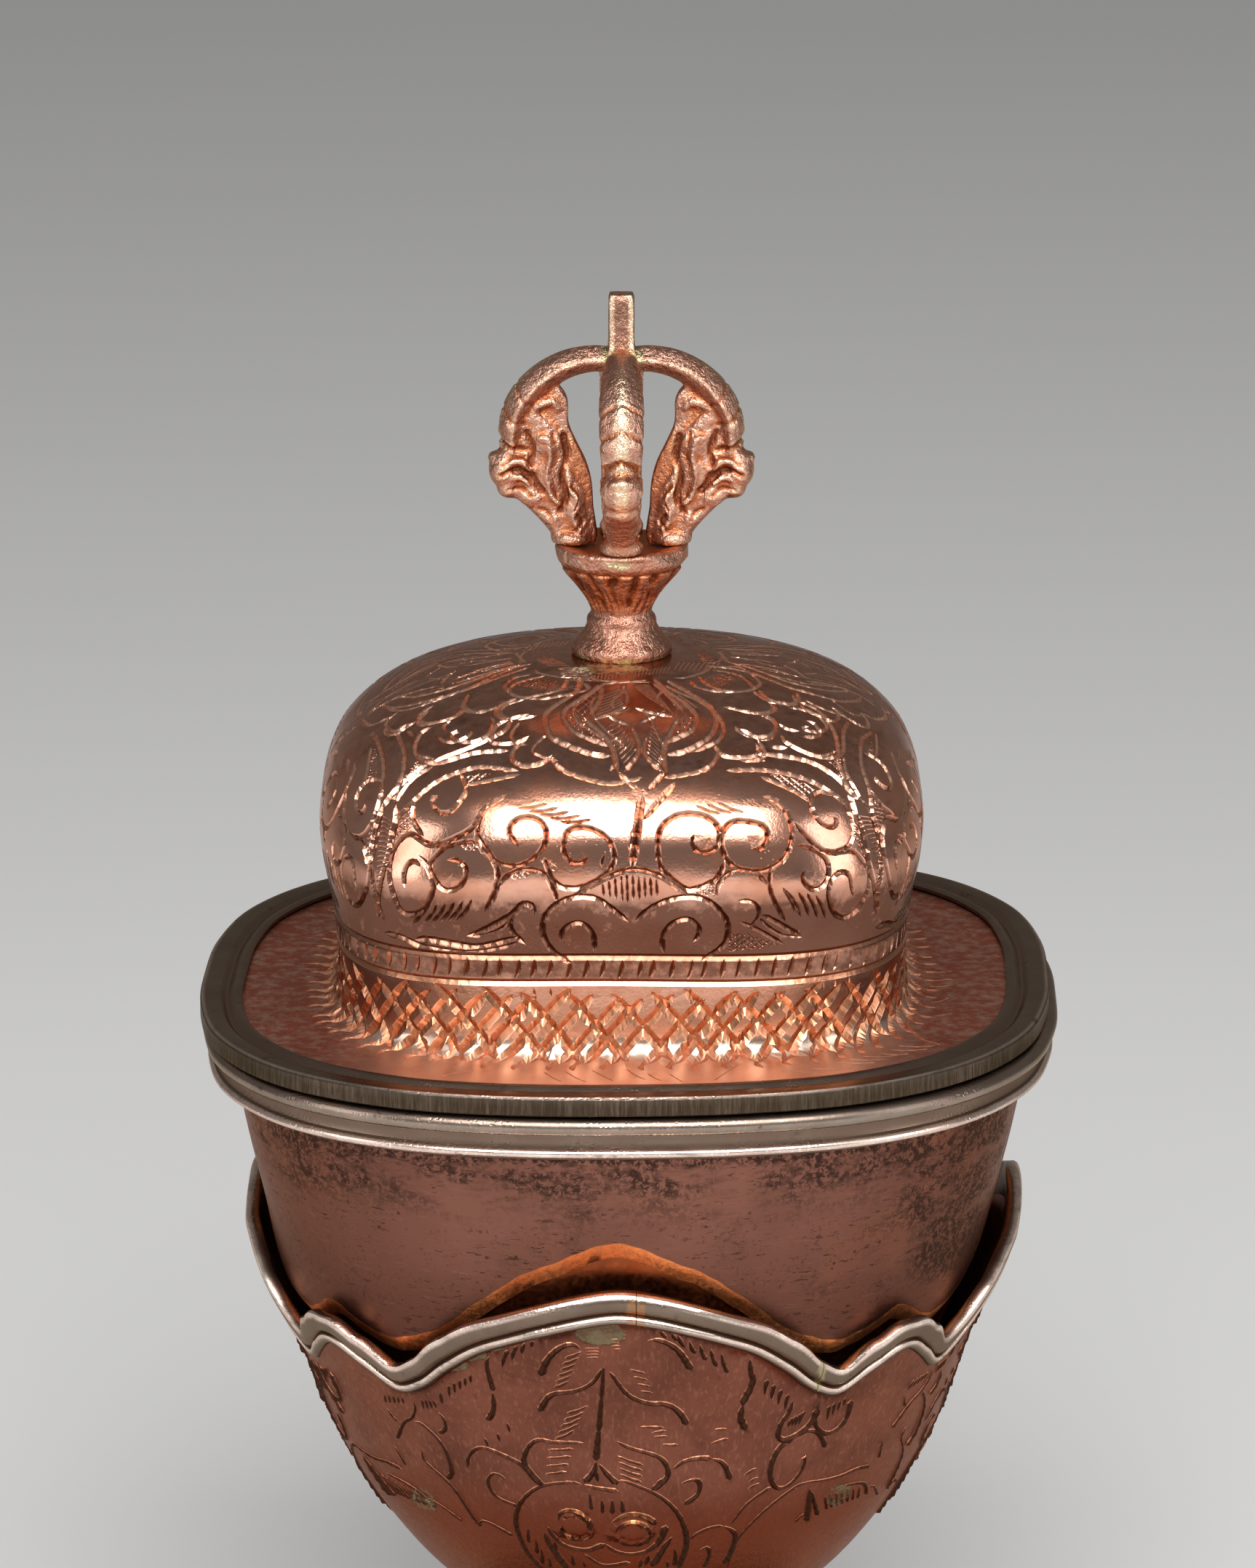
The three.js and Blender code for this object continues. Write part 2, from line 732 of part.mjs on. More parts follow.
const part = new THREE.Group();
part.name = 'skull_cup';
const stand = [
  footRim(),
  footCone(),
  stem(),
  holderCup(),
  trimLength('holder_trim_short', seamFront, seamValley),
  trimLength('holder_trim_long', seamValley, seamFront + waveSegments),
];
const cup = [cupBody(), cupSkin(), rimBand()];
const lid = [lidRing(), lidSheetBody(), lidCollar()];
const finial = [
  finialStem(),
  finialCore(),
  finialProng('prong_right', 0),
  finialProng('prong_back', Math.PI / 2),
  finialProng('prong_left', Math.PI),
  finialProng('prong_front', -Math.PI / 2),
];
part.add(...shifted(stand, holderShift));
part.add(...shifted(cup, cupShift));
part.add(...shifted(lid, lidShift));
part.add(...shifted(finial, lidShift + domeShift));

export default part;
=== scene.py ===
import math
import random

import bpy
import numpy as np
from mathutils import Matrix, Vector
from mathutils.geometry import delaunay_2d_cdt
from mathutils.kdtree import KDTree


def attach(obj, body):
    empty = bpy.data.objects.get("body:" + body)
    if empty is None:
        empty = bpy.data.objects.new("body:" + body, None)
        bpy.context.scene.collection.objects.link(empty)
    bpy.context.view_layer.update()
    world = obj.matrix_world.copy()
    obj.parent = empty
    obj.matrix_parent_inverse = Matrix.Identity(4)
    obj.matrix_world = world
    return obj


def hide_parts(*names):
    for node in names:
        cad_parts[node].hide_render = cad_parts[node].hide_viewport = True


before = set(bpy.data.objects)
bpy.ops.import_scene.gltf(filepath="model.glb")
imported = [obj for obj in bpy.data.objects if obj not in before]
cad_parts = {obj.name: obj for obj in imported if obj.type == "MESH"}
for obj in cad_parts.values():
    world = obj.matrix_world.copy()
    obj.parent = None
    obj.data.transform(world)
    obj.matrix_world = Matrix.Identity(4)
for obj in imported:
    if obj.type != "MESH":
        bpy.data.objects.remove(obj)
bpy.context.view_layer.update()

print("frame loaded")

# Lengths are in millimetres until a mesh is made
mm = 0.001
pi = math.pi

camera = {
    "place": (-1.15, -852.17, 374.79),
    "pitch": 15.3338,
    "heading": 0.0488,
    "lens": 166.42,
    "sensor": 36,
    "picture": (1725, 2156),
}


def makeCamera():
    data = bpy.data.cameras.new("viewCamera")
    data.lens = camera["lens"]
    data.sensor_width = camera["sensor"]
    data.clip_end = 20
    item = bpy.data.objects.new("viewCamera", data)
    item.location = [value * mm for value in camera["place"]]
    item.rotation_euler = (
        math.radians(90 - camera["pitch"]),
        0,
        -math.radians(camera["heading"]),
    )
    bpy.context.scene.collection.objects.link(item)
    bpy.context.scene.camera = item


makeCamera()


# Rays from the camera through points of the picture, for placing what was drawn over it
def pictureRays(points):
    pitch = math.radians(camera["pitch"])
    heading = math.radians(camera["heading"])
    ahead = np.array([
        math.sin(heading) * math.cos(pitch),
        math.cos(heading) * math.cos(pitch),
        -math.sin(pitch),
    ])
    right = np.cross(ahead, [0, 0, 1])
    right /= np.linalg.norm(right)
    above = np.cross(right, ahead)
    wide, high = camera["picture"]
    focal = camera["lens"] / camera["sensor"] * high
    points = np.asarray(points, float)
    rays = (
        ahead * focal
        + right * (points[:, :1] - wide / 2)
        - above * (points[:, 1:2] - high / 2)
    )
    return rays / np.linalg.norm(rays, axis=1, keepdims=True)


# Where those rays first meet a solid, given a test for being inside it
def meetSolid(points, inside, near=700, far=960, step=0.4):
    start = np.array(camera["place"])
    rays = pictureRays(points)
    low = np.full(len(rays), near, float)
    found = np.zeros(len(rays), bool)
    reach = near
    while reach < far:
        reach += step
        ahead = ~found
        if not ahead.any():
            break
        hit = inside(start + rays * reach) & ahead
        low[hit] = reach - step
        found |= hit
    high = low + step
    for _ in range(12):
        middle = (low + high) / 2
        within = inside(start + rays * middle[:, None])
        high = np.where(within, middle, high)
        low = np.where(within, low, middle)
    places = start + rays * high[:, None]
    places[~found] = np.nan
    return places


def smoothCurve(places, values):
    # Monotone cubic through the given values, read at any place
    x = np.asarray(places, float)
    y = np.asarray(values, float)
    h = np.diff(x)
    d = np.diff(y) / h
    slope = np.zeros_like(y)
    for i in range(1, len(x) - 1):
        if d[i - 1] * d[i] > 0:
            a = 2 * h[i] + h[i - 1]
            b = h[i] + 2 * h[i - 1]
            slope[i] = (a + b) / (a / d[i - 1] + b / d[i])
    slope[0] = d[0]
    slope[-1] = d[-1]

    def read(at):
        at = np.clip(np.asarray(at, float), x[0], x[-1])
        i = np.clip(np.searchsorted(x, at) - 1, 0, len(x) - 2)
        t = (at - x[i]) / h[i]
        first = (1 + 2 * t) * (1 - t) ** 2 * y[i] + t * (1 - t) ** 2 * h[i] * slope[i]
        second = t * t * (3 - 2 * t) * y[i + 1] + t * t * (t - 1) * h[i] * slope[i + 1]
        return first + second

    return read


def curveBetween(a, b, c, d, t):
    # Smooth curve from b to c, with a before it and d after it
    return b + (c - a) / 2 * t + (a - 2.5 * b + 2 * c - d / 2) * t**2 + (1.5 * (b - c) + (d - a) / 2) * t**3


def softCurve(values):
    # Even table read smoothly from 0 to 1, level at both ends
    table = np.asarray(values, float)
    padded = np.concatenate([[table[1]], table, [table[-2]]])

    def read(at):
        at = np.clip(np.asarray(at, float), 0, 1) * (len(table) - 1)
        i = np.minimum(np.floor(at).astype(int), len(table) - 2)
        return curveBetween(*(padded[i + k] for k in range(4)), at - i)

    return read


def throughPoints(points, steps):
    # Smooth curve through points, with extra points between them
    points = np.asarray(points, float)
    if len(points) < 3:
        return points[0] + (points[-1] - points[0]) * np.linspace(0, 1, steps + 1)[:, None]
    padded = np.concatenate([[2 * points[0] - points[1]], points, [2 * points[-1] - points[-2]]])
    t = np.linspace(0, 1, steps, endpoint=False)[:, None]
    out = [curveBetween(*padded[i:i + 4], t) for i in range(len(points) - 1)]
    return np.concatenate([*out, points[-1:]])


# The form that the pieces share
form = {
    "clearance": 0.3,
    "wall": 1.2,
    "rimHalf": 52,
    "planShares": [0.994, 1.025, 1.079, 1.104, 1.078, 1.029, 1.002, 1.016, 1.051, 1.068, 1.05, 1.011],
    "lidShift": -0.55,
    "domeShift": -1.15,
    "cupShift": 0.15,
    "standShift": 0.55,
    "holderBase": 34.9,
    "squareTop": 91,
    "cupBase": 36.4,
    "rimTop": 115.0,
    "lidTop": 117.65,
    "plateTop": 116.85,
    "domeTop": 157.85,
    "finialBase": 158.15,
    "lotusTop": 171.55,
}

# Body, slot, node of the frame and finish of each piece
pieces = {
    "footBand": ("stand", "white_metal", "foot_rim", "white"),
    "footCone": ("stand", "copper", "foot_cone", "holder"),
    "stemKnop": ("stand", "copper", "stem", "holder"),
    "holderBowl": ("stand", "copper", "holder_cup", "holder"),
    "mouldingShort": ("stand", "white_metal", "holder_trim_short", "white"),
    "mouldingLong": ("stand", "white_metal", "holder_trim_long", "white"),
    "vessel": ("cup", "brown_copper", "cup_body", "inner"),
    "skin": ("cup", "brown_copper", "cup_skin", "wall"),
    "rimBand": ("cup", "white_metal", "rim_band", "white"),
    "lidRing": ("lid", "white_metal", "lid_ring", "white"),
    "lidSheet": ("lid", "copper", "lid_sheet", "polished"),
    "lotusStem": ("lid", "copper", "finial_stem", "finial"),
    "centreBar": ("lid", "copper", "finial_core", "finial"),
    "prongRight": ("lid", "copper", "prong_right", "finial"),
    "prongBack": ("lid", "copper", "prong_back", "finial"),
    "prongLeft": ("lid", "copper", "prong_left", "finial"),
    "prongFront": ("lid", "copper", "prong_front", "finial"),
}

planTable = np.array(form["planShares"] * 2)


def planShare(angle):
    at = np.mod(np.asarray(angle, float), 2 * pi) / (2 * pi) * len(planTable)
    i = np.floor(at).astype(int)
    return curveBetween(*(planTable[(i + k) % len(planTable)] for k in (-1, 0, 1, 2)), at - i)


def planRadius(angle, half, square=1.0):
    return half * (1 + square * (planShare(angle) - 1))


def squareShare(angle, power):
    return (np.abs(np.cos(angle)) ** power + np.abs(np.sin(angle)) ** power) ** (-1 / power)


def squareness(height):
    share = np.clip((height - form["holderBase"]) / (form["squareTop"] - form["holderBase"]), 0, 1)
    return share * share * (3 - 2 * share)


def wavePlace(angle, turn=-0.045):
    quarter = pi / 2
    turned = np.mod(np.asarray(angle, float) - turn, quarter)
    return np.minimum(turned, quarter - turned) / (quarter / 2)


def around(steps):
    return np.arange(steps) / steps * 2 * pi


def onPlan(radius, angle, height, shift=0.0):
    # Places at a radius and a height round an upright axis
    radius, angle, height = np.broadcast_arrays(radius, angle, height)
    return np.stack([radius * np.cos(angle) + shift, radius * np.sin(angle), height], -1)


def polar(length, angle):
    length, angle = np.broadcast_arrays(np.asarray(length, float), np.asarray(angle, float))
    return np.stack([length * np.cos(angle), length * np.sin(angle)], -1)


def angleGap(angle, middle):
    return np.abs(np.mod(angle - middle + pi, 2 * pi) - pi)


def hump(value, middle, width):
    # Bell that is one in its middle
    return np.exp(-(((value - middle) / width) ** 2))


def readAll(rows, key, size, kind=float):
    values = np.zeros(len(rows) * size, kind)
    rows.foreach_get(key, values)
    return values.reshape(-1, size)


def placeObject(name, mesh):
    item = bpy.data.objects.new(name, mesh)
    bpy.context.scene.collection.objects.link(item)
    return item


def dress(item, look):
    item.data.materials.clear()
    item.data.materials.append(finish[look])


def standFor(name, mesh):
    # Puts a mesh at the origin, tells the frame what it stands for and gives it its finish
    body, slot, node, look = pieces[name]
    item = placeObject(name, mesh)
    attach(item, body)
    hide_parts(node)
    dress(item, look)
    return item


def outwards(points, faces):
    # Turns all faces round if the closed body is inside out
    points = np.asarray(points, float)
    volume = 0.0
    for size in {len(face) for face in faces}:
        group = np.array([face for face in faces if len(face) == size])
        for k in range(1, size - 1):
            a, b, c = points[group[:, 0]], points[group[:, k]], points[group[:, k + 1]]
            volume += np.einsum("ij,ij->", a, np.cross(b, c))
    return faces if volume > 0 else [tuple(reversed(face)) for face in faces]


def linkMesh(name, points, faces, sharp=None, attributes=None):
    # Makes a closed mesh with its faces outwards, and the values that its finish reads
    mesh = bpy.data.meshes.new(name)
    mesh.from_pydata((np.asarray(points) * mm).tolist(), [], outwards(points, faces))
    mesh.validate()
    for key, values in (attributes or {}).items():
        layer = mesh.attributes.new(key, "FLOAT", "POINT")
        layer.data.foreach_set("value", np.asarray(values, np.float32))
    mesh.polygons.foreach_set("use_smooth", [True] * len(mesh.polygons))
    if sharp:
        mesh.set_sharp_from_angle(angle=math.radians(sharp))
    return standFor(name, mesh)


def ringFaces(rows, steps, closedRows):
    faces = []
    last = rows if closedRows else rows - 1
    for i in range(last):
        a = i * steps
        b = ((i + 1) % rows) * steps
        for k in range(steps):
            n = (k + 1) % steps
            faces.append((a + k, a + n, b + n, b + k))
    return faces


def ringPoints(rows, angle, shift):
    # A row is a radius and a height, the same all round or one for each angle
    return [onPlan(radius, angle, height, shift) for radius, height in rows]


def ringPiece(name, rows, angle, shift, sharp=30, attributes=None):
    # Closed ring whose last row joins the first; rows run up the outside and down the inside
    points = np.concatenate(ringPoints(rows, angle, shift))
    faces = ringFaces(len(rows), len(angle), True)
    values = {key: np.repeat(row, len(angle)) for key, row in (attributes or {}).items()}
    linkMesh(name, points, faces, sharp, values)


def poledPiece(name, rows, ends, angle, shift, sharp=30, attributes=None):
    # Closed body of rows between two points on the axis, which are given by their heights
    steps = len(angle)
    first, last = len(rows) * steps, (len(rows) - 1) * steps
    points = np.concatenate([*ringPoints(rows, angle, shift), [[shift, 0, height] for height in ends]])
    faces = ringFaces(len(rows), steps, False)
    for k in range(steps):
        n = (k + 1) % steps
        faces += [(first, n, k), (first + 1, last + k, last + n)]
    linkMesh(name, points, faces, sharp, attributes)


# Node tree that sweeps an outline along a path; the outline's first axis follows the path's outward
# direction and the second stands up, leaning with the wall
def makeSweepTree():
    tree = bpy.data.node_groups.new("mouldingAlongPath", "GeometryNodeTree")
    for name, kind, way in (
        ("Geometry", "Geometry", "INPUT"),
        ("Outline", "Object", "INPUT"),
        ("Width", "Float", "INPUT"),
        ("Height", "Float", "INPUT"),
        ("Geometry", "Geometry", "OUTPUT"),
    ):
        tree.interface.new_socket(name, in_out=way, socket_type="NodeSocket" + kind)
    given = tree.nodes.new("NodeGroupInput").outputs
    out = tree.nodes.new("NodeGroupOutput")

    def node(kind, inputs=None, output=0, **settings):
        made = tree.nodes.new(kind)
        for key, value in settings.items():
            setattr(made, key, value)
        for key, value in (inputs or {}).items():
            if isinstance(value, bpy.types.NodeSocket):
                tree.links.new(value, made.inputs[key])
            else:
                made.inputs[key].default_value = value
        return made.outputs[output]

    def named(name, kind="FLOAT"):
        return node("GeometryNodeInputNamedAttribute", {"Name": name}, data_type=kind)

    def calc(operation, first, second):
        return node("ShaderNodeMath", {0: first, 1: second}, operation=operation)

    def joined(first, second):
        return node("ShaderNodeVectorMath", {0: first, 1: second}, operation="ADD")

    def curveOf(geometry, title):
        # Curve that remembers under a title where its points were
        curve = node("GeometryNodeMeshToCurve", {0: geometry})
        inputs = {"Geometry": curve, "Name": title, "Value": node("GeometryNodeInputPosition")}
        return node("GeometryNodeStoreNamedAttribute", inputs, data_type="FLOAT_VECTOR", domain="POINT")

    path = curveOf(given["Geometry"], "pathPlace")
    shape = curveOf(node("GeometryNodeObjectInfo", {0: given["Outline"]}, "Geometry"), "shapePlace")
    swept = node("GeometryNodeCurveToMesh", {"Curve": path, "Profile Curve": shape, "Fill Caps": True})
    flat = named("shapePlace", "FLOAT_VECTOR")
    across, up = (node("ShaderNodeSeparateXYZ", {0: flat}, axis) for axis in (0, 1))
    up = calc("MULTIPLY", calc("MULTIPLY", up, given["Height"]), named("tall"))
    across = calc("MULTIPLY", across, given["Width"])
    across = calc("ADD", across, calc("MULTIPLY", up, named("lean")))
    inputs = {0: named("outward", "FLOAT_VECTOR"), "Scale": across}
    level = node("ShaderNodeVectorMath", inputs, operation="SCALE")
    spot = joined(level, node("ShaderNodeCombineXYZ", {"Z": up}))
    spot = joined(named("pathPlace", "FLOAT_VECTOR"), spot)
    swept = node("GeometryNodeSetPosition", {"Geometry": swept, "Position": spot})
    swept = node("GeometryNodeRealizeInstances", {0: swept})
    tree.links.new(swept, out.inputs[0])
    return tree


sweepTree = makeSweepTree()


def levelPath(radius, angle, shift, height):
    outward = onPlan(1.0, angle, 0.0)
    places = outward * radius[:, None] + [shift, 0, height]
    return places, outward, np.ones(len(angle)), np.zeros(len(angle))


def sweptPiece(name, path, outline, sizes=(1, 1), closed=True, along=None, sharp=38):
    # Path: places, outward directions, stretch and lean. Outline: across, up and what the finish reads
    def lines(title, points, ring, values):
        mesh = bpy.data.meshes.new(title)
        count = len(points)
        links = [(k, (k + 1) % count) for k in range(count if ring else count - 1)]
        mesh.from_pydata(np.asarray(points, float).tolist(), links, [])
        for key, value in values.items():
            value = np.asarray(value, np.float32)
            kind, field = ("FLOAT_VECTOR", "vector") if value.ndim == 2 else ("FLOAT", "value")
            mesh.attributes.new(key, kind, "POINT").data.foreach_set(field, value.ravel())
        return placeObject(title, mesh)

    places, outward, tall, lean = path
    values = {"outward": outward, "tall": tall, "lean": lean, **(along or {})}
    base = lines(name + "Path", places * mm, closed, values)
    outline = [(*row, {}) if len(row) == 2 else row for row in outline]
    marks = {key: [row[2].get(key, 0) for row in outline] for key in ("side", "dull", "clean")}
    shape = lines(name + "Outline", [(x, y, 0) for x, y, _ in outline], True, marks)
    sweep = base.modifiers.new("sweep", "NODES")
    sweep.node_group = sweepTree
    wide, high = sizes
    values = {"Outline": shape, "Width": wide * mm, "Height": high * mm}
    for socket in sweepTree.interface.items_tree:
        if socket.in_out == "INPUT" and socket.name in values:
            sweep[socket.identifier] = values[socket.name]
    view = bpy.context.evaluated_depsgraph_get()
    mesh = bpy.data.meshes.new_from_object(base.evaluated_get(view))
    for item in (base, shape):
        bpy.data.objects.remove(item)
    faces = [tuple(face.vertices) for face in mesh.polygons]
    if outwards(readAll(mesh.vertices, "co", 3), faces) != faces:
        mesh.flip_normals()
    mesh.polygons.foreach_set("use_smooth", [True] * len(faces))
    mesh.set_sharp_from_angle(angle=math.radians(sharp))
    mesh.name = name
    standFor(name, mesh)


# Shader graphs: a wire is a socket that plain arithmetic can be done with
class Wire:
    def __init__(self, graph, socket):
        self.graph = graph
        self.socket = socket

    def math(self, operation, *others, clamp=False):
        values = dict(enumerate((self, *others)))
        return self.graph.add("ShaderNodeMath", {"operation": operation, "use_clamp": clamp}, values)

    def __add__(self, other):
        return self.math("ADD", other)

    def __mul__(self, other):
        return self.math("MULTIPLY", other)

    def __sub__(self, other):
        return self.math("SUBTRACT", other)

    def within(self):
        return self.math("ADD", 0.0, clamp=True)

    def between(self, low, high, start=0.0, end=1.0):
        limits = {"From Min": low, "From Max": high, "To Min": start, "To Max": end}
        settings = {"interpolation_type": "SMOOTHSTEP"}
        return self.graph.add("ShaderNodeMapRange", settings, {"Value": self, **limits})


def opaque(color):
    return color if isinstance(color, Wire) else (*color, 1)


class Graph:
    def __init__(self, name):
        self.material = bpy.data.materials.new(name)
        self.material.use_nodes = True
        self.tree = self.material.node_tree
        self.tree.nodes.clear()

    def add(self, kind, settings=None, inputs=None, output=0):
        node = self.tree.nodes.new(kind)
        for key, value in (settings or {}).items():
            setattr(node, key, value)
        for key, value in (inputs or {}).items():
            if isinstance(value, Wire):
                self.tree.links.new(value.socket, node.inputs[key])
            else:
                node.inputs[key].default_value = value
        return Wire(self, node.outputs[output])

    def place(self):
        return self.add("ShaderNodeTexCoord", output=3)

    def axis(self, which, output=3):
        # One axis of the place, or of the normal for output 1
        source = self.add("ShaderNodeTexCoord", output=output)
        return self.add("ShaderNodeSeparateXYZ", None, {0: source}, which)

    def attributes(self, *names):
        return [self.add("ShaderNodeAttribute", {"attribute_name": name}, output=2) for name in names]

    def stretched(self, scale, turn=(0, 0, 0), move=(0, 0, 0)):
        inputs = {"Vector": self.place(), "Scale": scale, "Rotation": turn, "Location": move}
        return self.add("ShaderNodeMapping", None, inputs)

    def noise(self, scale, detail=3, rough=0.5, vector=None, warp=0.0):
        inputs = {"Scale": scale, "Detail": detail, "Roughness": rough, "Distortion": warp}
        return self.add("ShaderNodeTexNoise", None, {"Vector": vector or self.place(), **inputs})

    def streaks(self, scales, detail, rough, turn=(0, 0, 0)):
        return self.noise(1.0, detail, rough, self.stretched(scales, turn))

    def cells(self, scale):
        return self.add("ShaderNodeTexVoronoi", None, {"Vector": self.place(), "Scale": scale})

    def pits(self, scale, core, edge, spread, low, high):
        # Small round marks that come in swarms
        return self.cells(scale).between(core, edge, 1.0, 0.0) * spread.between(low, high)

    def color(self, factor, first, second):
        inputs = {0: factor, 6: opaque(first), 7: opaque(second)}
        return self.add("ShaderNodeMix", {"data_type": "RGBA"}, inputs, 2)

    def layers(self, tone, *rows):
        # Colours laid over a first one, each with its share
        for share, color in rows:
            tone = self.color(share, tone, color)
        return tone

    def spot(self, middle, sizes):
        # One inside an ellipsoid and fading to nothing at its surface
        shares = [1 / size for size in sizes]
        moved = self.stretched(shares, move=[-a * b for a, b in zip(middle, shares)])
        length = self.add("ShaderNodeVectorMath", {"operation": "LENGTH"}, {0: moved}, 1)
        return length.between(1.0, 0.55)

    def bumps(self, *rows):
        # Reliefs on top of each other, each with its depth in metres and its strength
        inputs = {}
        for height, distance, strength in rows:
            inputs.update({"Height": height, "Distance": distance, "Strength": strength})
            inputs["Normal"] = self.add("ShaderNodeBump", None, inputs)
        return inputs["Normal"]

    def paint(self, values):
        shader = self.add("ShaderNodeBsdfPrincipled", None, values)
        out = self.tree.nodes.new("ShaderNodeOutputMaterial")
        self.tree.links.new(shader.socket, out.inputs["Surface"])
        return self.material

    def metal(self, tone, rough, normal, tint):
        values = {"Base Color": tone, "Roughness": rough, "Metallic": 1.0, "Normal": normal}
        return self.paint({**values, "Specular Tint": opaque(tint)})


# Engraving: strokes are cut into a surface as real grooves
# A surface takes points of a flat map, whose distance from its middle is the length along the outline.
# Steps along a stroke, room round it without other points, how far its depth is looked for,
# the depth with the full tone, the depth that still counts as level, and how far rubbing reaches
carved = {
    "step": 0.5,
    "clear": 0.62,
    "search": 0.5,
    "fullCut": 0.26,
    "level": 0.004,
    "rub": 1.7,
    "rubReach": 2.3,
}


class Carving:
    def __init__(self, surface, seed, swell=0.0):
        self.surface, self.swell = surface, swell
        self.chance = random.Random(seed)
        self.lines = []

    def add(self, points, width=0.6, depth=0.42, chisel=1.0, ends=(0.0, 0.0)):
        points = np.asarray(points, float)
        if len(points) > 1 and np.isfinite(points).all():
            self.lines.append((points, width, depth, chisel, ends))

    def frameAt(self, flat):
        # Places, the two directions of the map and the outward normal
        tiny = 0.02
        place = self.surface(flat)
        first = (self.surface(flat + [tiny, 0]) - self.surface(flat - [tiny, 0])) / (2 * tiny)
        second = (self.surface(flat + [0, tiny]) - self.surface(flat - [0, tiny])) / (2 * tiny)
        normal = np.cross(first, second)
        normal /= np.linalg.norm(normal, axis=1, keepdims=True)
        return place, first, second, normal

    def spread(self, points, width, depth, chisel, ends):
        # Even points along a stroke with its half width and depth at each
        fine = throughPoints(points, 12)
        place = self.surface(fine)
        length = np.concatenate([[0], np.cumsum(np.linalg.norm(np.diff(place, axis=0), axis=1))])
        total = length[-1]
        count = max(4, int(math.ceil(total / carved["step"])) + 1)
        at = np.linspace(0, total, count)
        flat = np.stack([np.interp(at, length, fine[:, k]) for k in range(2)], 1)
        share = at / total
        start = np.clip((at + ends[0]) / (width * 1.3), 0, 1) ** 0.6
        stop = np.clip((total - at + ends[1]) / (width * (0.6 if self.swell else 1.3)), 0, 1) ** 0.6
        # A pushed tool cuts deeper towards the end of its stroke
        taper = start * stop * (1 - self.swell * 0.6 + self.swell * share)
        beat = 1.35 + 0.3 * self.chance.random()
        phase = self.chance.random()
        saw = np.mod(at / beat + phase, 1)
        half = width / 2 * taper * (1 + 0.16 * chisel * (saw - 0.5))
        deep = width * depth * taper * (1 + 0.5 * chisel * (saw - 0.5))
        if total < width * 4:
            arch = np.sin(pi * np.clip(share, 0, 1))
            half = width / 2 * arch**0.7
            deep = width * depth * arch**0.8
        return flat, half, deep

    def mesh(self, background, boundary, keep=None):
        flats, links, given = [], [], []
        at = 0

        def put(points, depth):
            nonlocal at
            flats.append(points)
            given.append(depth)
            start = at
            at += len(points)
            return start

        edge = put(boundary, np.zeros(len(boundary)))
        links += [(edge + k, edge + (k + 1) % len(boundary)) for k in range(len(boundary))]
        samples, reach, fall = [], [], []
        for line in self.lines:
            flat, half, deep = self.spread(*line)
            place, first, second, normal = self.frameAt(flat)
            along = np.gradient(place, axis=0)
            side = np.cross(normal, along)
            side /= np.maximum(np.linalg.norm(side, axis=1, keepdims=True), 1e-9)
            pairs = ((first, first), (first, second), (second, second), (first, side), (second, side))
            aa, ab, bb, ra, rb = (np.einsum("ij,ij->i", *pair) for pair in pairs)
            share = aa * bb - ab * ab
            step = np.stack([(ra * bb - rb * ab) / share, (rb * aa - ra * ab) / share], 1)
            count = len(flat)
            middle = put(flat, np.where(half > 0, deep, 0))
            rows = [range(middle, middle + count)]
            for way in (1, -1):
                rim = flat[1:-1] + step[1:-1] * way * half[1:-1, None]
                begin = put(rim, np.zeros(count - 2))
                rows.append([middle, *range(begin, begin + count - 2), middle + count - 1])
            for row in rows:
                links += zip(row[:-1], row[1:])
            fine = np.linspace(0, count - 1, (count - 1) * 4 + 1)
            index = np.arange(count)
            samples.append(np.stack([np.interp(fine, index, place[:, k]) for k in range(3)], 1))
            reach.append(np.interp(fine, index, half))
            fall.append(np.interp(fine, index, deep))
        reach, fall = np.concatenate(reach), np.concatenate(fall)
        samples = np.concatenate(samples)
        tree = KDTree(len(samples))
        for i, point in enumerate(samples):
            tree.insert(point, i)
        tree.balance()
        back = self.surface(background)
        free = [tree.find(point)[2] > carved["clear"] for point in back]
        put(background[np.array(free)], np.zeros(sum(free)))
        flats = np.concatenate(flats)
        given = np.concatenate(given)
        made = delaunay_2d_cdt([Vector(point) for point in flats], links, [], 0, 1e-5, True)
        flat = np.array([tuple(point) for point in made[0]])
        faces = np.array([face for face in made[2] if len(face) == 3])
        place, _, _, normal = self.frameAt(flat)
        depth = np.zeros(len(flat))
        for i, origins in enumerate(made[3]):
            known = max((given[k] for k in origins), default=-1)
            close = tree.find_range(place[i], carved["search"])
            deepest = max(known, 0)
            for _, k, distance in close:
                if distance < reach[k]:
                    deepest = max(deepest, fall[k] * (1 - distance / reach[k]) * 0.95)
            depth[i] = deepest
        if keep is not None:
            faces = faces[keep(flat[faces].mean(axis=1))]
        rim = {k: i for i, origins in enumerate(made[3]) for k in origins if k < len(boundary)}
        edgeLoop = [rim[k] for k in range(len(boundary))]
        depth[edgeLoop] = 0
        return place - normal * depth[:, None], faces, normal, depth, edgeLoop


def ringGrid(lengths, radii, spacing):
    # Scattered map points on rings, about evenly spaced on the real surface
    out = []
    for i, (length, radius) in enumerate(zip(lengths, radii)):
        count = max(6, int(2 * pi * radius / spacing))
        out.append(polar(length, (np.arange(count) + 0.5 * (i % 2)) / count * 2 * pi))
    return np.concatenate(out)


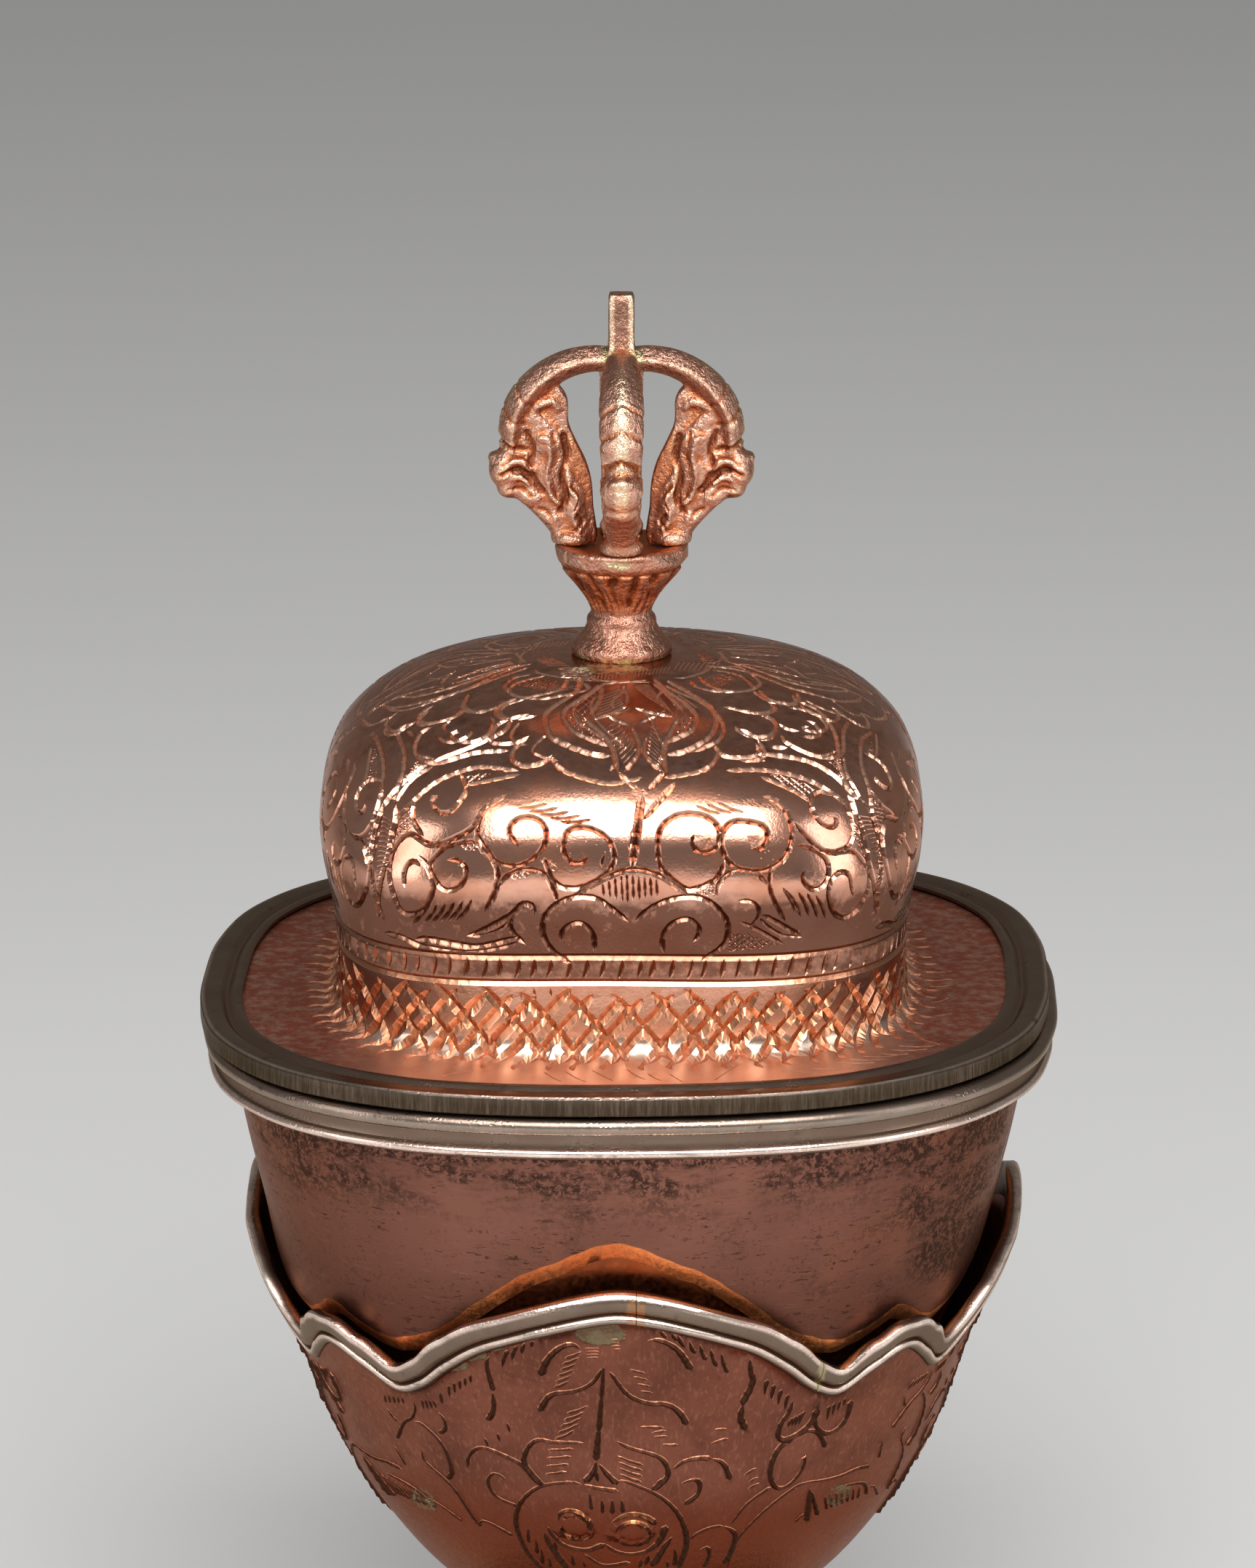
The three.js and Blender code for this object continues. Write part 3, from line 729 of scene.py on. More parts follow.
def carvedPiece(name, carving, grid, boundary, inner, keep=None, rubs=()):
    # Engraved outside and a plain inside, joined along the edge loop; inner is a list of rings and a pole
    place, faces, normal, depth, edgeLoop = carving.mesh(grid, boundary, keep)
    used = np.unique(faces)
    lookup = -np.ones(len(place), int)
    lookup[used] = np.arange(len(used))
    faces = lookup[faces]
    edgeLoop = lookup[edgeLoop]
    place, normal, depth = place[used], normal[used], depth[used]
    steps, start = len(edgeLoop), len(place)
    previous, quads = edgeLoop, []
    for _ in inner[:-1]:
        ids = start + np.arange(steps)
        quads.append(np.stack([previous, ids, np.roll(ids, -1), np.roll(previous, -1)], 1))
        previous = ids
        start += steps
    quads = np.concatenate(quads)
    cap = np.stack([previous, np.full(steps, start), np.roll(previous, -1)], 1)
    points = np.concatenate([place, *inner[:-1], [inner[-1]]])
    # The carved faces look along the normals; the inside is turned to agree at the shared edge
    a, b, c = (place[faces[:, k]] for k in range(3))
    wrong = np.einsum("ij,ij->i", np.cross(b - a, c - a), normal[faces[:, 0]]) < 0
    faces[wrong] = faces[wrong][:, ::-1]
    sides = np.concatenate([faces[:, [k, (k + 1) % 3]] for k in range(3)])
    if (sides == edgeLoop[:2]).all(axis=1).any():
        quads, cap = quads[:, ::-1], cap[:, ::-1]
    everyFace = [tuple(face) for group in (faces, quads, cap) for face in group.tolist()]
    cut = np.zeros(len(points))
    cut[:len(place)] = np.clip(depth / carved["fullCut"], 0, 1)
    rub = np.zeros(len(points))
    for middle in rubs:
        gap = np.linalg.norm(points - middle, axis=1)
        rub = np.maximum(rub, np.clip(carved["rub"] - gap / carved["rubReach"], 0, 1))
    mesh = linkMesh(name, points, everyFace, None, {"cut": cut, "rub": rub}).data
    # Level parts take the normals of the surface, and the walls of the cuts those of their faces
    loopNormals = readAll(mesh.corner_normals, "vector", 3)
    faceNormals = readAll(mesh.polygons, "normal", 3)
    loopPoint = readAll(mesh.loops, "vertex_index", 1, np.int32).ravel()
    loopFace = np.repeat(np.arange(len(mesh.polygons)), [poly.loop_total for poly in mesh.polygons])
    isCarved = loopFace < len(faces)
    level = np.zeros(len(points), bool)
    level[:len(place)] = depth < carved["level"]
    faceLevel = np.ones(len(mesh.polygons), bool)
    np.logical_and.at(faceLevel, loopFace[isCarved], level[loopPoint[isCarved]])
    plain = isCarved & faceLevel[loopFace]
    wall = isCarved & ~faceLevel[loopFace]
    loopNormals[plain] = normal[loopPoint[plain]]
    loopNormals[wall] = faceNormals[loopFace[wall]]
    mesh.normals_split_custom_set(loopNormals.tolist())
    print(name, len(mesh.polygons), "faces")


def turnedMap(points, angle):
    c, s = math.cos(angle), math.sin(angle)
    return np.asarray(points) @ np.array([[c, s], [-s, c]])


def fanStrokes(first, last, count, bow):
    # Row of strokes between a first and a last one, each bent by a share of its length
    first, last = np.array(first, float), np.array(last, float)
    out = []
    for i in range(count):
        start, end = first + (last - first) * (i / max(count - 1, 1))
        middle = (start + end) / 2 + np.array([end[1] - start[1], start[0] - end[0]]) * bow
        out.append(np.array([start, middle, end]))
    return out


def hatchLines(outline, spacing, slant):
    # Parallel strokes that fill an outline
    outline = np.array(outline, float)
    turn = math.radians(slant)
    across = np.array([math.cos(turn), math.sin(turn)])
    up = np.array([-across[1], across[0]])
    value = outline @ up
    out = []
    level = value.min() + spacing * 0.6
    while level < value.max():
        cuts = []
        for k in range(len(outline)):
            a, b = outline[k], outline[(k + 1) % len(outline)]
            va, vb = a @ up - level, b @ up - level
            if va * vb < 0:
                cuts.append(a + (b - a) * va / (va - vb))
        cuts.sort(key=lambda point: point @ across)
        for k in range(0, len(cuts) - 1, 2):
            if np.linalg.norm(cuts[k + 1] - cuts[k]) > spacing * 0.6:
                out.append(np.array([cuts[k], cuts[k + 1]]))
        level += spacing
    return out


def drawingRows(text):
    # Rows of a drawing: words and numbers before a colon, points after it
    for line in text.strip().splitlines():
        head, points = line.split(":")
        yield head.split(), np.array([pair.split(",") for pair in points.split()], float)


drawing = {
    "hatchWidth": 0.22,
    "hatchScale": 270,
    "hatchSlant": 38,
    "fine": 0.35,
    "depth": 0.42,
    "fineDepth": 0.34,
}


def placeDrawing(carving, text, inside, toMap, turns, broad=1.0):
    # Puts what was drawn over enlarged parts of the picture onto a surface and repeats it round it.
    # A sheet has a corner and an enlargement, and each of its rows is a width and the points of a stroke.
    # A fan is a row of strokes between a first and a last one: width, number, bow and four points.
    # A fill is the spacing and the outline of fine crosshatching.
    for sheet in text.split("sheet")[1:]:
        corner, rows = sheet.split("\n", 1)
        left, top, zoom = map(float, corner.split())
        lines = []
        for (kind, *numbers), points in drawingRows(rows):
            numbers = [float(number) for number in numbers]
            if kind == "fan":
                width, count, bow = numbers
                strokes = fanStrokes(points[:2], points[2:], int(count), bow)
            elif kind == "fill":
                width = drawing["hatchWidth"]
                strokes = []
                for slant in (drawing["hatchSlant"], -drawing["hatchSlant"]):
                    strokes += hatchLines(points, numbers[0] * drawing["hatchScale"], slant)
            else:
                width, strokes = float(kind), [points]
            lines += [(width, stroke) for stroke in strokes]
        curves = [throughPoints(stroke, 5 if len(stroke) > 2 else 4) for _, stroke in lines]
        places = meetSolid([left, top] + np.concatenate(curves) / zoom, inside)
        ends = np.cumsum([len(curve) for curve in curves])[:-1]
        for (width, _), points in zip(lines, np.split(toMap(places), ends)):
            for turn in turns:
                depth = drawing["depth"] if width * broad > drawing["fine"] else drawing["fineDepth"]
                carving.add(turnedMap(points, turn), width * broad, depth)


quarterTurns = [0, pi / 2, pi, 3 * pi / 2]

# Finishes
copperTone = {
    "bright": (0.68, 0.36, 0.26),
    "warm": (0.60, 0.27, 0.17),
    "tarnish": (0.14, 0.058, 0.038),
    "groove": (0.15, 0.055, 0.032),
    "patina": (0.21, 0.073, 0.046),
    "patinaDark": (0.14, 0.049, 0.031),
    "orange": (0.46, 0.15, 0.06),
    "solder": (0.20, 0.165, 0.095),
    "tint": (0.84, 0.68, 0.60),
}


def polishedCopper():
    g = Graph("polishedCopper")
    cut, = g.attributes("cut")
    height, sideways, facing = g.axis(2), g.axis(0).math("ABSOLUTE"), g.axis(2, 1)
    blotch = g.noise(160, 4, 0.6)
    smear = g.streaks((220, 220, 700), 4, 0.6)
    mottle = g.noise(600, 5, 0.7)
    grain = g.noise(2600, 2, 0.6)
    pits = g.pits(1700, 0.0, 0.14, g.noise(220, 2), 0.5, 0.72)
    # Tarnish lies low on the dome, over its crown and at the sides of the plate; these darker zones are also
    # a painted dark reflection
    low = height.between(0.1385, 0.1345) * height.between(0.1262, 0.1272)
    low = low * height.between(0.1285, 0.13, 0.6, 1.0)
    crown = height.between(0.1445, 0.1525) * 0.5
    flat = height.between(0.1185, 0.1172)
    plate = flat * sideways.between(0.026, 0.037)
    tarnish = low * 1.3 + crown + plate * 0.85 + smear.between(0.5, 0.75) * 0.3
    tarnish = (tarnish * mottle.between(0.28, 0.62, 0.55, 1.2)).within()
    # Cuts are dark, partly patina in them and partly painted shade, orange in the lattice, with a painted
    # highlight on the walls that look up and on the cut walls of the crown
    lattice = height.between(0.1268, 0.1258)
    band = height.between(0.1262, 0.127) * height.between(0.13, 0.129)
    inside = g.layers(
        copperTone["groove"],
        (lattice, (0.45, 0.185, 0.095)),
        (band, (0.30, 0.11, 0.055)),
        (height.between(0.1445, 0.15), (0.86, 0.50, 0.36)),
    )
    lit = cut.between(0.08, 0.4) * facing.between(0.35, 0.75) * lattice.between(0, 1, 0.55, 0.4)
    solder = g.spot((-0.0026, -0.0074, 0.1574), (0.006, 0.003, 0.0018)) * 1.1
    solder = (solder + g.noise(1300, 4, 0.75) * 3.2 - 2.4).between(0.0, 0.35)
    tone = g.layers(
        copperTone["bright"],
        (blotch.between(0.35, 0.7), copperTone["warm"]),
        (height.between(0.128, 0.122) * 0.7, (0.62, 0.33, 0.225)),
        # A paler plate is a painted soft highlight
        (height.between(0.1205, 0.1185) * 0.9, (0.70, 0.53, 0.42)),
        # Tarnish with a painted dark reflection
        (tarnish * 0.9, g.color(flat, (0.12, 0.048, 0.031), (0.33, 0.062, 0.028))),
        (pits * 0.7, copperTone["groove"]),
        (cut.between(0.08, 0.6) * 0.8, inside),
        (cut.between(0.02, 0.15) * lattice * 0.85, inside),
        (lit, (0.86, 0.48, 0.32)),
        (solder * 0.8, (0.66, 0.58, 0.34)),
    )
    rough = blotch.between(0.3, 0.8, 0.13, 0.22) + cut * 0.1 + tarnish * 0.08 + grain * 0.03 + flat * 0.14
    rough = rough + lattice * 0.05 + height.between(0.1225, 0.119) * 0.04 + solder * 0.2
    normal = g.bumps((g.noise(95, 1.5, 0.4), 0.0003, 0.4), (grain + pits * -1.5, 0.00003, 0.5))
    return g.metal(tone, rough, normal, copperTone["tint"])


# Middles, half sizes and strengths of the runs of solder on the holder
holderSolder = [
    ((-0.0036, -0.046, 0.0869), (0.0038, 0.008, 0.0020), 1.15),
    ((-0.0165, -0.044, 0.0849), (0.0028, 0.009, 0.0011), 1.1),
    ((-0.0190, -0.043, 0.0833), (0.0026, 0.009, 0.0013), 1.1),
    ((-0.0213, -0.042, 0.0815), (0.0026, 0.009, 0.0013), 1.1),
    ((-0.0250, -0.026, 0.0590), (0.0025, 0.010, 0.0030), 0.6),
    ((0.0250, -0.026, 0.0600), (0.0025, 0.010, 0.0030), 0.6),
]


def holderCopper():
    g = Graph("holderCopper")
    cut, rub = g.attributes("cut", "rub")
    height, facing = g.axis(2), g.axis(2, 1)
    blotch = g.noise(110, 4, 0.6)
    brush = g.streaks((2400, 2400, 240), 3, 0.6, (0, 0.3, 0))
    grain = g.noise(1500, 4, 0.7)
    stain = g.pits(900, 0.05, 0.3, g.noise(240, 3), 0.5, 0.7)
    # The patina thins out towards the foot; the orange there is partly a painted reflection of the copper
    # foot below
    clean = height.between(0.0585, 0.047) * blotch.between(0.35, 0.62, 0.15, 0.6)
    clean = clean * height.between(0.031, 0.037, 0.35, 1.0)
    # Cuts are dark, partly dirt in them and partly painted shade, darkest on walls that look down, with a
    # painted highlight as a bright lip on the side that looks up
    dark = cut.between(0.04, 0.34) * facing.between(0.4, -0.4, 0.74, 0.97)
    lip = cut.between(0.01, 0.08) * cut.between(0.34, 0.16) * facing.between(-0.2, 0.15)
    # Eye rims are worn bright orange, with a painted highlight where they look up
    rubbedAndLit = rub * facing.between(-0.1, 0.4) * grain.between(0.3, 0.6)
    # Runs of solder under the moulding, beside its seams and in two places low on the wall
    spots = [g.spot(middle, sizes) * strength for middle, sizes, strength in holderSolder]
    runs = spots[0]
    for spot in spots[1:]:
        runs = runs.math("MAXIMUM", spot)
    ragged = g.noise(900, 5, 0.75, warp=0.6)
    runs = (runs * 1.1 + ragged * 2.6 - 1.75).between(0.0, 0.45)
    tone = g.layers(
        copperTone["patina"],
        (blotch.between(0.35, 0.7), copperTone["patinaDark"]),
        (clean, copperTone["orange"]),
        (brush.between(0.5, 0.75) * 0.45, (0.36, 0.155, 0.105)),
        (stain * 0.5, (0.08, 0.036, 0.026)),
        (g.noise(520, 5, 0.75).between(0.55, 0.68) * 0.4, (0.09, 0.04, 0.028)),
        (height.between(0.067, 0.057) * 0.8, (0.16, 0.034, 0.014)),
        (dark, (0.042, 0.017, 0.01)),
        (lip * 0.85, (0.60, 0.25, 0.14)),
        (rubbedAndLit * 0.9, (0.80, 0.30, 0.12)),
        (runs * ragged.between(0.4, 0.55, 0.45, 0.95), copperTone["solder"]),
    )
    rough = grain.between(0.3, 0.7, 0.32, 0.44) + cut * 0.18 - clean * 0.06
    normal = g.bumps(
        (g.noise(110, 2, 0.5), 0.0004, 0.5),
        (brush, 0.00009, 0.7),
        (runs * ragged, 0.0005, 0.6),
        (grain, 0.00004, 0.4),
    )
    return g.metal(tone, rough, normal, copperTone["tint"])


def wallCopper():
    g = Graph("wallCopper")
    edge, = g.attributes("edge")
    height, sideways = g.axis(2), g.axis(0).math("ABSOLUTE")
    cloud = g.noise(45, 3, 0.6)
    fine = g.noise(1250, 5, 0.8)
    patch = g.noise(70, 5, 0.65, warp=0.4)
    streak = g.streaks((420, 420, 60), 4, 0.7)
    scratch = g.streaks((300, 300, 2600), 3, 0.7, (0.3, 0.2, 0))
    filing = g.streaks((1500, 1500, 260), 3, 0.7, (0, 0.25, 0))
    swarm = g.streaks((70, 70, 210), 4, 0.7)
    # Stains under the rim and at the right side, a painted shadow where the band sits, with nicks and scores
    under = height.between(0.0985, 0.107) * swarm.between(0.4, 0.58) * streak.between(0.3, 0.55, 0.5, 1.0)
    side = g.spot((0.040, -0.030, 0.097), (0.013, 0.02, 0.013)) * swarm.between(0.38, 0.55)
    nicks = g.pits(420, 0.06, 0.14, patch, 0.4, 0.52)
    scores = g.streaks((480, 480, 2300), 3, 0.75, (0.45, 0.25, 0)).between(0.6, 0.635)
    scores = scores * patch.between(0.4, 0.53)
    specks = g.noise(1500, 4, 0.8).between(0.57, 0.62) * swarm.between(0.42, 0.55)
    # Painted shadow just under the band
    seat = height.between(0.1078, 0.1092)
    stain = (patch.between(0.52, 0.7) * 0.6 + under * 1.2 + side * 1.1 + seat).within()
    stain = (stain * fine.between(0.45, 0.51)).math("MAXIMUM", nicks * 0.8)
    stain = stain.math("MAXIMUM", scores * 0.8 + specks * 0.5)
    raw = g.color(cloud.between(0.4, 0.6), (0.95, 0.35, 0.12), (0.74, 0.20, 0.06))
    tone = g.layers(
        (0.235, 0.10, 0.07),
        (cloud.between(0.35, 0.7), (0.175, 0.074, 0.052)),
        # Painted dark reflection, darker towards the sides
        (sideways.between(0.015, 0.045) * 0.6, (0.12, 0.045, 0.03)),
        (height.between(0.1, 0.085) * 0.9, (0.12, 0.045, 0.03)),
        (scratch.between(0.55, 0.8) * 0.25, (0.36, 0.19, 0.15)),
        (g.noise(70, 2).between(0.55, 0.75) * 0.35, (0.30, 0.11, 0.06)),
        (stain * 0.85, (0.035, 0.02, 0.015)),
        (edge * filing.between(0.35, 0.6, 0.72, 1.0), raw),
    )
    rough = fine.between(0.3, 0.7, 0.34, 0.44) + stain * 0.2 + edge * 0.04
    normal = g.bumps((g.noise(55, 2), 0.0006, 0.35), (scratch, 0.00004, 0.5), (filing, 0.00012, edge * 0.8))
    return g.metal(tone, rough, normal, copperTone["tint"])


def innerCopper():
    # Glossy dark red copper of the vessel behind the skin
    g = Graph("innerCopper")
    cloud = g.noise(90, 4, 0.6)
    tone = g.color(cloud.between(0.35, 0.7), (0.36, 0.10, 0.038), (0.21, 0.055, 0.021))
    rough = g.noise(1400, 3, 0.6).between(0.3, 0.7, 0.27, 0.4)
    return g.metal(tone, rough, g.bumps((cloud, 0.0004, 0.4)), (0.4, 0.2, 0.12))


def whiteMetal():
    # Side marks the brushed and browned side, darkened by a painted dark reflection; the tarnish marks are
    # tarnish in hollows with a painted dark reflection; the bright marks are where the beads are worn bright,
    # with a painted highlight
    g = Graph("whiteMetal")
    side, dull, clean, solder, rust = g.attributes("side", "dull", "clean", "solder", "rust")
    cloud = g.noise(120, 4, 0.6)
    blush = g.noise(70, 4, 0.65)
    stipple = g.cells(2300).between(0.1, 0.5)
    wear = g.streaks((160, 160, 900), 3, 0.6)
    marks = g.streaks((2600, 2600, 200), 4, 0.7, (0, 0.3, 0))
    dark = g.noise(420, 5, 0.75).between(0.57, 0.66) * wear.between(0.4, 0.65)
    rubbedAndLit = g.color(stipple * blush.between(0.3, 0.5), (0.90, 0.80, 0.68), (0.78, 0.58, 0.50))
    rusted = (rust + g.noise(800, 3) * 0.6 - 0.3).between(0.3, 0.7)
    soldered = (solder + g.noise(600, 3) - 0.5).between(0.35, 0.65)
    tone = g.layers(
        (0.20, 0.162, 0.122),
        (cloud.between(0.35, 0.7), (0.145, 0.12, 0.092)),
        (blush.between(0.5, 0.7) * 0.5, (0.36, 0.25, 0.21)),
        # Beads worn bright, with a painted highlight
        (clean * wear.between(0.25, 0.5, 0.45, 1.0), rubbedAndLit),
        # Tarnish in hollows, with a painted dark reflection
        (dull * cloud.between(0.3, 0.7, 0.75, 1.0), (0.18, 0.115, 0.085)),
        (dark * 0.7, (0.08, 0.055, 0.04)),
        # Brushed side, darkened by a painted dark reflection
        (side * marks.between(0.3, 0.62, 0.6, 1.0), (0.055, 0.036, 0.022)),
        (rusted * 0.55, (0.42, 0.20, 0.09)),
        (soldered * 0.75, (0.44, 0.38, 0.21)),
    )
    rough = cloud.between(0.3, 0.7, 0.2, 0.3) + side * 0.14 + dull * 0.08 + stipple * 0.03
    normal = g.bumps(
        (stipple, 0.00004, blush.between(0.45, 0.65, 0.1, 0.6)),
        (marks, 0.00007, side * 0.9 + 0.06),
        (g.noise(2600, 2, 0.6), 0.00002, 0.4),
    )
    return g.metal(tone, rough, normal, (0.72, 0.64, 0.56))


def finialCopper():
    g = Graph("finialCopper")
    hollow, worn, braze, paintedDarkReflection = g.attributes("hollow", "worn", "braze", "paintedDarkReflection")
    blotch = g.noise(320, 4, 0.6)
    grain = g.noise(1700, 4, 0.65)
    mottle = g.noise(450, 5, 0.75)
    pits = g.pits(1300, 0.0, 0.2, g.noise(300, 2), 0.45, 0.7)
    patches = (braze + g.noise(900, 4, 0.7) * 1.4 - 0.7).between(0.35, 0.75)
    tone = g.layers(
        (0.56, 0.31, 0.225),
        (blotch.between(0.35, 0.7), (0.46, 0.235, 0.16)),
        (g.axis(2).between(0.165, 0.163) * 0.4, (0.30, 0.12, 0.08)),
        (mottle.between(0.5, 0.66) * 0.55, (0.24, 0.10, 0.07)),
        # Worn edges, with a painted highlight along the prongs' crest
        (worn.between(0.05, 0.7) * 0.85, (0.88, 0.63, 0.42)),
        (pits * 0.6, copperTone["tarnish"]),
        # Hollows: a painted orange reflection in the shallow ones, and painted shade with dark patina in the
        # deep ones
        (hollow.between(0.02, 0.3) * 0.8, (0.52, 0.17, 0.06)),
        (hollow.between(0.3, 1.0) * 0.85, (0.15, 0.04, 0.018)),
        (patches * 0.8, (0.42, 0.36, 0.20)),
        # Painted dark reflection on the flat faces of the centre bar
        (paintedDarkReflection * mottle.between(0.3, 0.55, 0.7, 1.0), (0.12, 0.06, 0.04)),
    )
    rough = grain.between(0.3, 0.7, 0.27, 0.42) + hollow * 0.15 - worn.between(0.1, 0.7) * 0.16
    normal = g.bumps((g.noise(850, 4, 0.6), 0.0006, 0.55), (grain + pits * -1.5, 0.00012, 0.8))
    return g.metal(tone, rough, normal, (0.8, 0.6, 0.5))


finish = {
    "polished": polishedCopper(),
    "holder": holderCopper(),
    "wall": wallCopper(),
    "inner": innerCopper(),
    "white": whiteMetal(),
    "finial": finialCopper(),
}
print("finishes made")

# Foot, stem and holder
foot = {
    "rimHalf": 36,
    "rimHeight": 5,
    "rimWidth": 4.6,
    "coneHeight": 17,
    "coneTop": 9.5,
    "coneWall": 1.4,
    "coneShares": [1, 0.81, 0.56, 0.36, 0.22, 0.09, 0],
    "stemHeight": 12,
    "neck": 7.6,
    "knop": 12.4,
    "plate": 9.4,
    "steps": 160,
    "stemSteps": 96,
}


def makeFoot():
    angle = around(foot["steps"])
    inner = foot["rimHalf"] - foot["rimWidth"]
    outline = [
        (0, 0), (0.97, 0), (1, 0.02), (1, 0.12), (0.9, 0.2), (0.88, 0.26), (0.9, 0.32), (0.96, 0.38),
        (0.99, 0.45), (0.99, 0.53), (0.93, 0.62), (0.8, 0.68), (0.64, 0.74), (0.61, 0.83), (0.62, 0.92),
        (0.57, 0.98), (0.5, 1), (0.04, 1), (0, 0.98),
    ]
    rows = [(inner + foot["rimWidth"] * x, foot["rimHeight"] * y) for x, y in outline]
    ringPiece("footBand", rows, angle, form["standShift"])

    base = foot["rimHeight"] + form["clearance"]
    top, wall = foot["coneTop"], foot["coneWall"]
    lower = foot["rimHalf"] - foot["rimWidth"] * 0.56
    count = len(foot["coneShares"]) - 1
    flare = smoothCurve([i / count for i in range(count + 1)], foot["coneShares"])
    outside, inside = [], []
    for i in range(33):
        place = i / 32
        radius = top + (lower - top) * float(flare(place))
        height = base + foot["coneHeight"] * place
        outside.append((radius, height))
        drop = 0 if i in (0, 32) else wall / 2
        inside.append((max(radius - wall, top - wall), height - drop))
    ringPiece("footCone", outside + inside[::-1], angle, form["standShift"])

    start = base + foot["coneHeight"] + form["clearance"]
    plate, neck, knop = foot["plate"], foot["neck"], foot["knop"]
    outline = [
        (plate - 0.3, 0), (plate, 0.02), (plate, 0.08), (plate - 0.3, 0.11), (neck + 0.6, 0.15),
        (neck, 0.2), (neck + 0.3, 0.26), (neck + 2, 0.31), (knop - 0.7, 0.38), (knop + 0.1, 0.44),
        (knop + 0.4, 0.5), (knop + 0.1, 0.56), (knop - 0.7, 0.62), (neck + 2, 0.69), (neck + 0.3, 0.75),
        (neck, 0.8), (neck + 0.6, 0.87), (plate - 0.3, 0.91), (plate, 0.94), (plate, 0.98), (plate - 0.3, 1),
    ]
    rows = [(radius, start + foot["stemHeight"] * share) for radius, share in outline]
    ends = [start, start + foot["stemHeight"]]
    poledPiece("stemKnop", rows, ends, around(foot["stemSteps"]), form["standShift"])


makeFoot()
print("foot made")

holder = {
    "half": 47.2,
    "hill": 53.3,
    "base": 9.4,
    "floor": 7.2,
    "wave": 12.4,
    "places": [0, 0.02, 0.08, 0.15, 0.24, 0.41, 0.54, 0.69, 0.8, 0.91, 1],
    "shares": [0, 0.16, 0.3, 0.42, 0.53, 0.685, 0.77, 0.84, 0.895, 0.96, 1],
    "waveShares": [0, 0.05, 0.14, 0.25, 0.39, 0.62, 0.88, 0.99, 0.78, 0.6],
    "strokeWidth": 1.18,
    "strokeSwell": 0.6,
    "eyeRise": 0.5,
    "eyeRim": 0.34,
    "trimHeight": 4,
    "trimSeat": 0.07,
    "trimWidth": 2,
    # Across and up as shares, and how tarnished or worn bright the metal is there, also standing for painted
    # dark reflection on the flanks and a painted highlight on the beads
    "trimOutline": [
        (0, 0), (0.7, 0, {"dull": 1}), (0.82, 0.03, {"dull": 0.7}), (0.92, 0.08),
        (0.96, 0.15, {"clean": 0.3}),
        (0.95, 0.2, {"clean": 0.9}), (0.88, 0.27, {"clean": 1}), (0.76, 0.31, {"dull": 0.9}),
        (0.64, 0.345, {"dull": 1}), (0.74, 0.385, {"dull": 1}), (0.88, 0.44, {"dull": 0.7}),
        (0.98, 0.53, {"dull": 0.6}), (1, 0.64, {"dull": 0.6}), (0.98, 0.76, {"dull": 0.35}),
        (0.93, 0.85, {"clean": 0.9}), (0.8, 0.95, {"clean": 1}), (0.6, 1, {"clean": 0.6}),
        (0.1, 1), (0, 0.97),
    ],
}
holderShare = smoothCurve(holder["places"], holder["shares"])
holderWave = softCurve(holder["waveShares"])


def holderRadius(height):
    share = holderShare((height - form["holderBase"]) / holder["hill"])
    return holder["base"] + (holder["half"] - holder["base"]) * share


def holderOutline(angle, height):
    return planRadius(angle, holderRadius(height), squareness(height))


def holderEdge(angle):
    return form["holderBase"] + holder["hill"] - holder["wave"] * holderWave(wavePlace(angle))


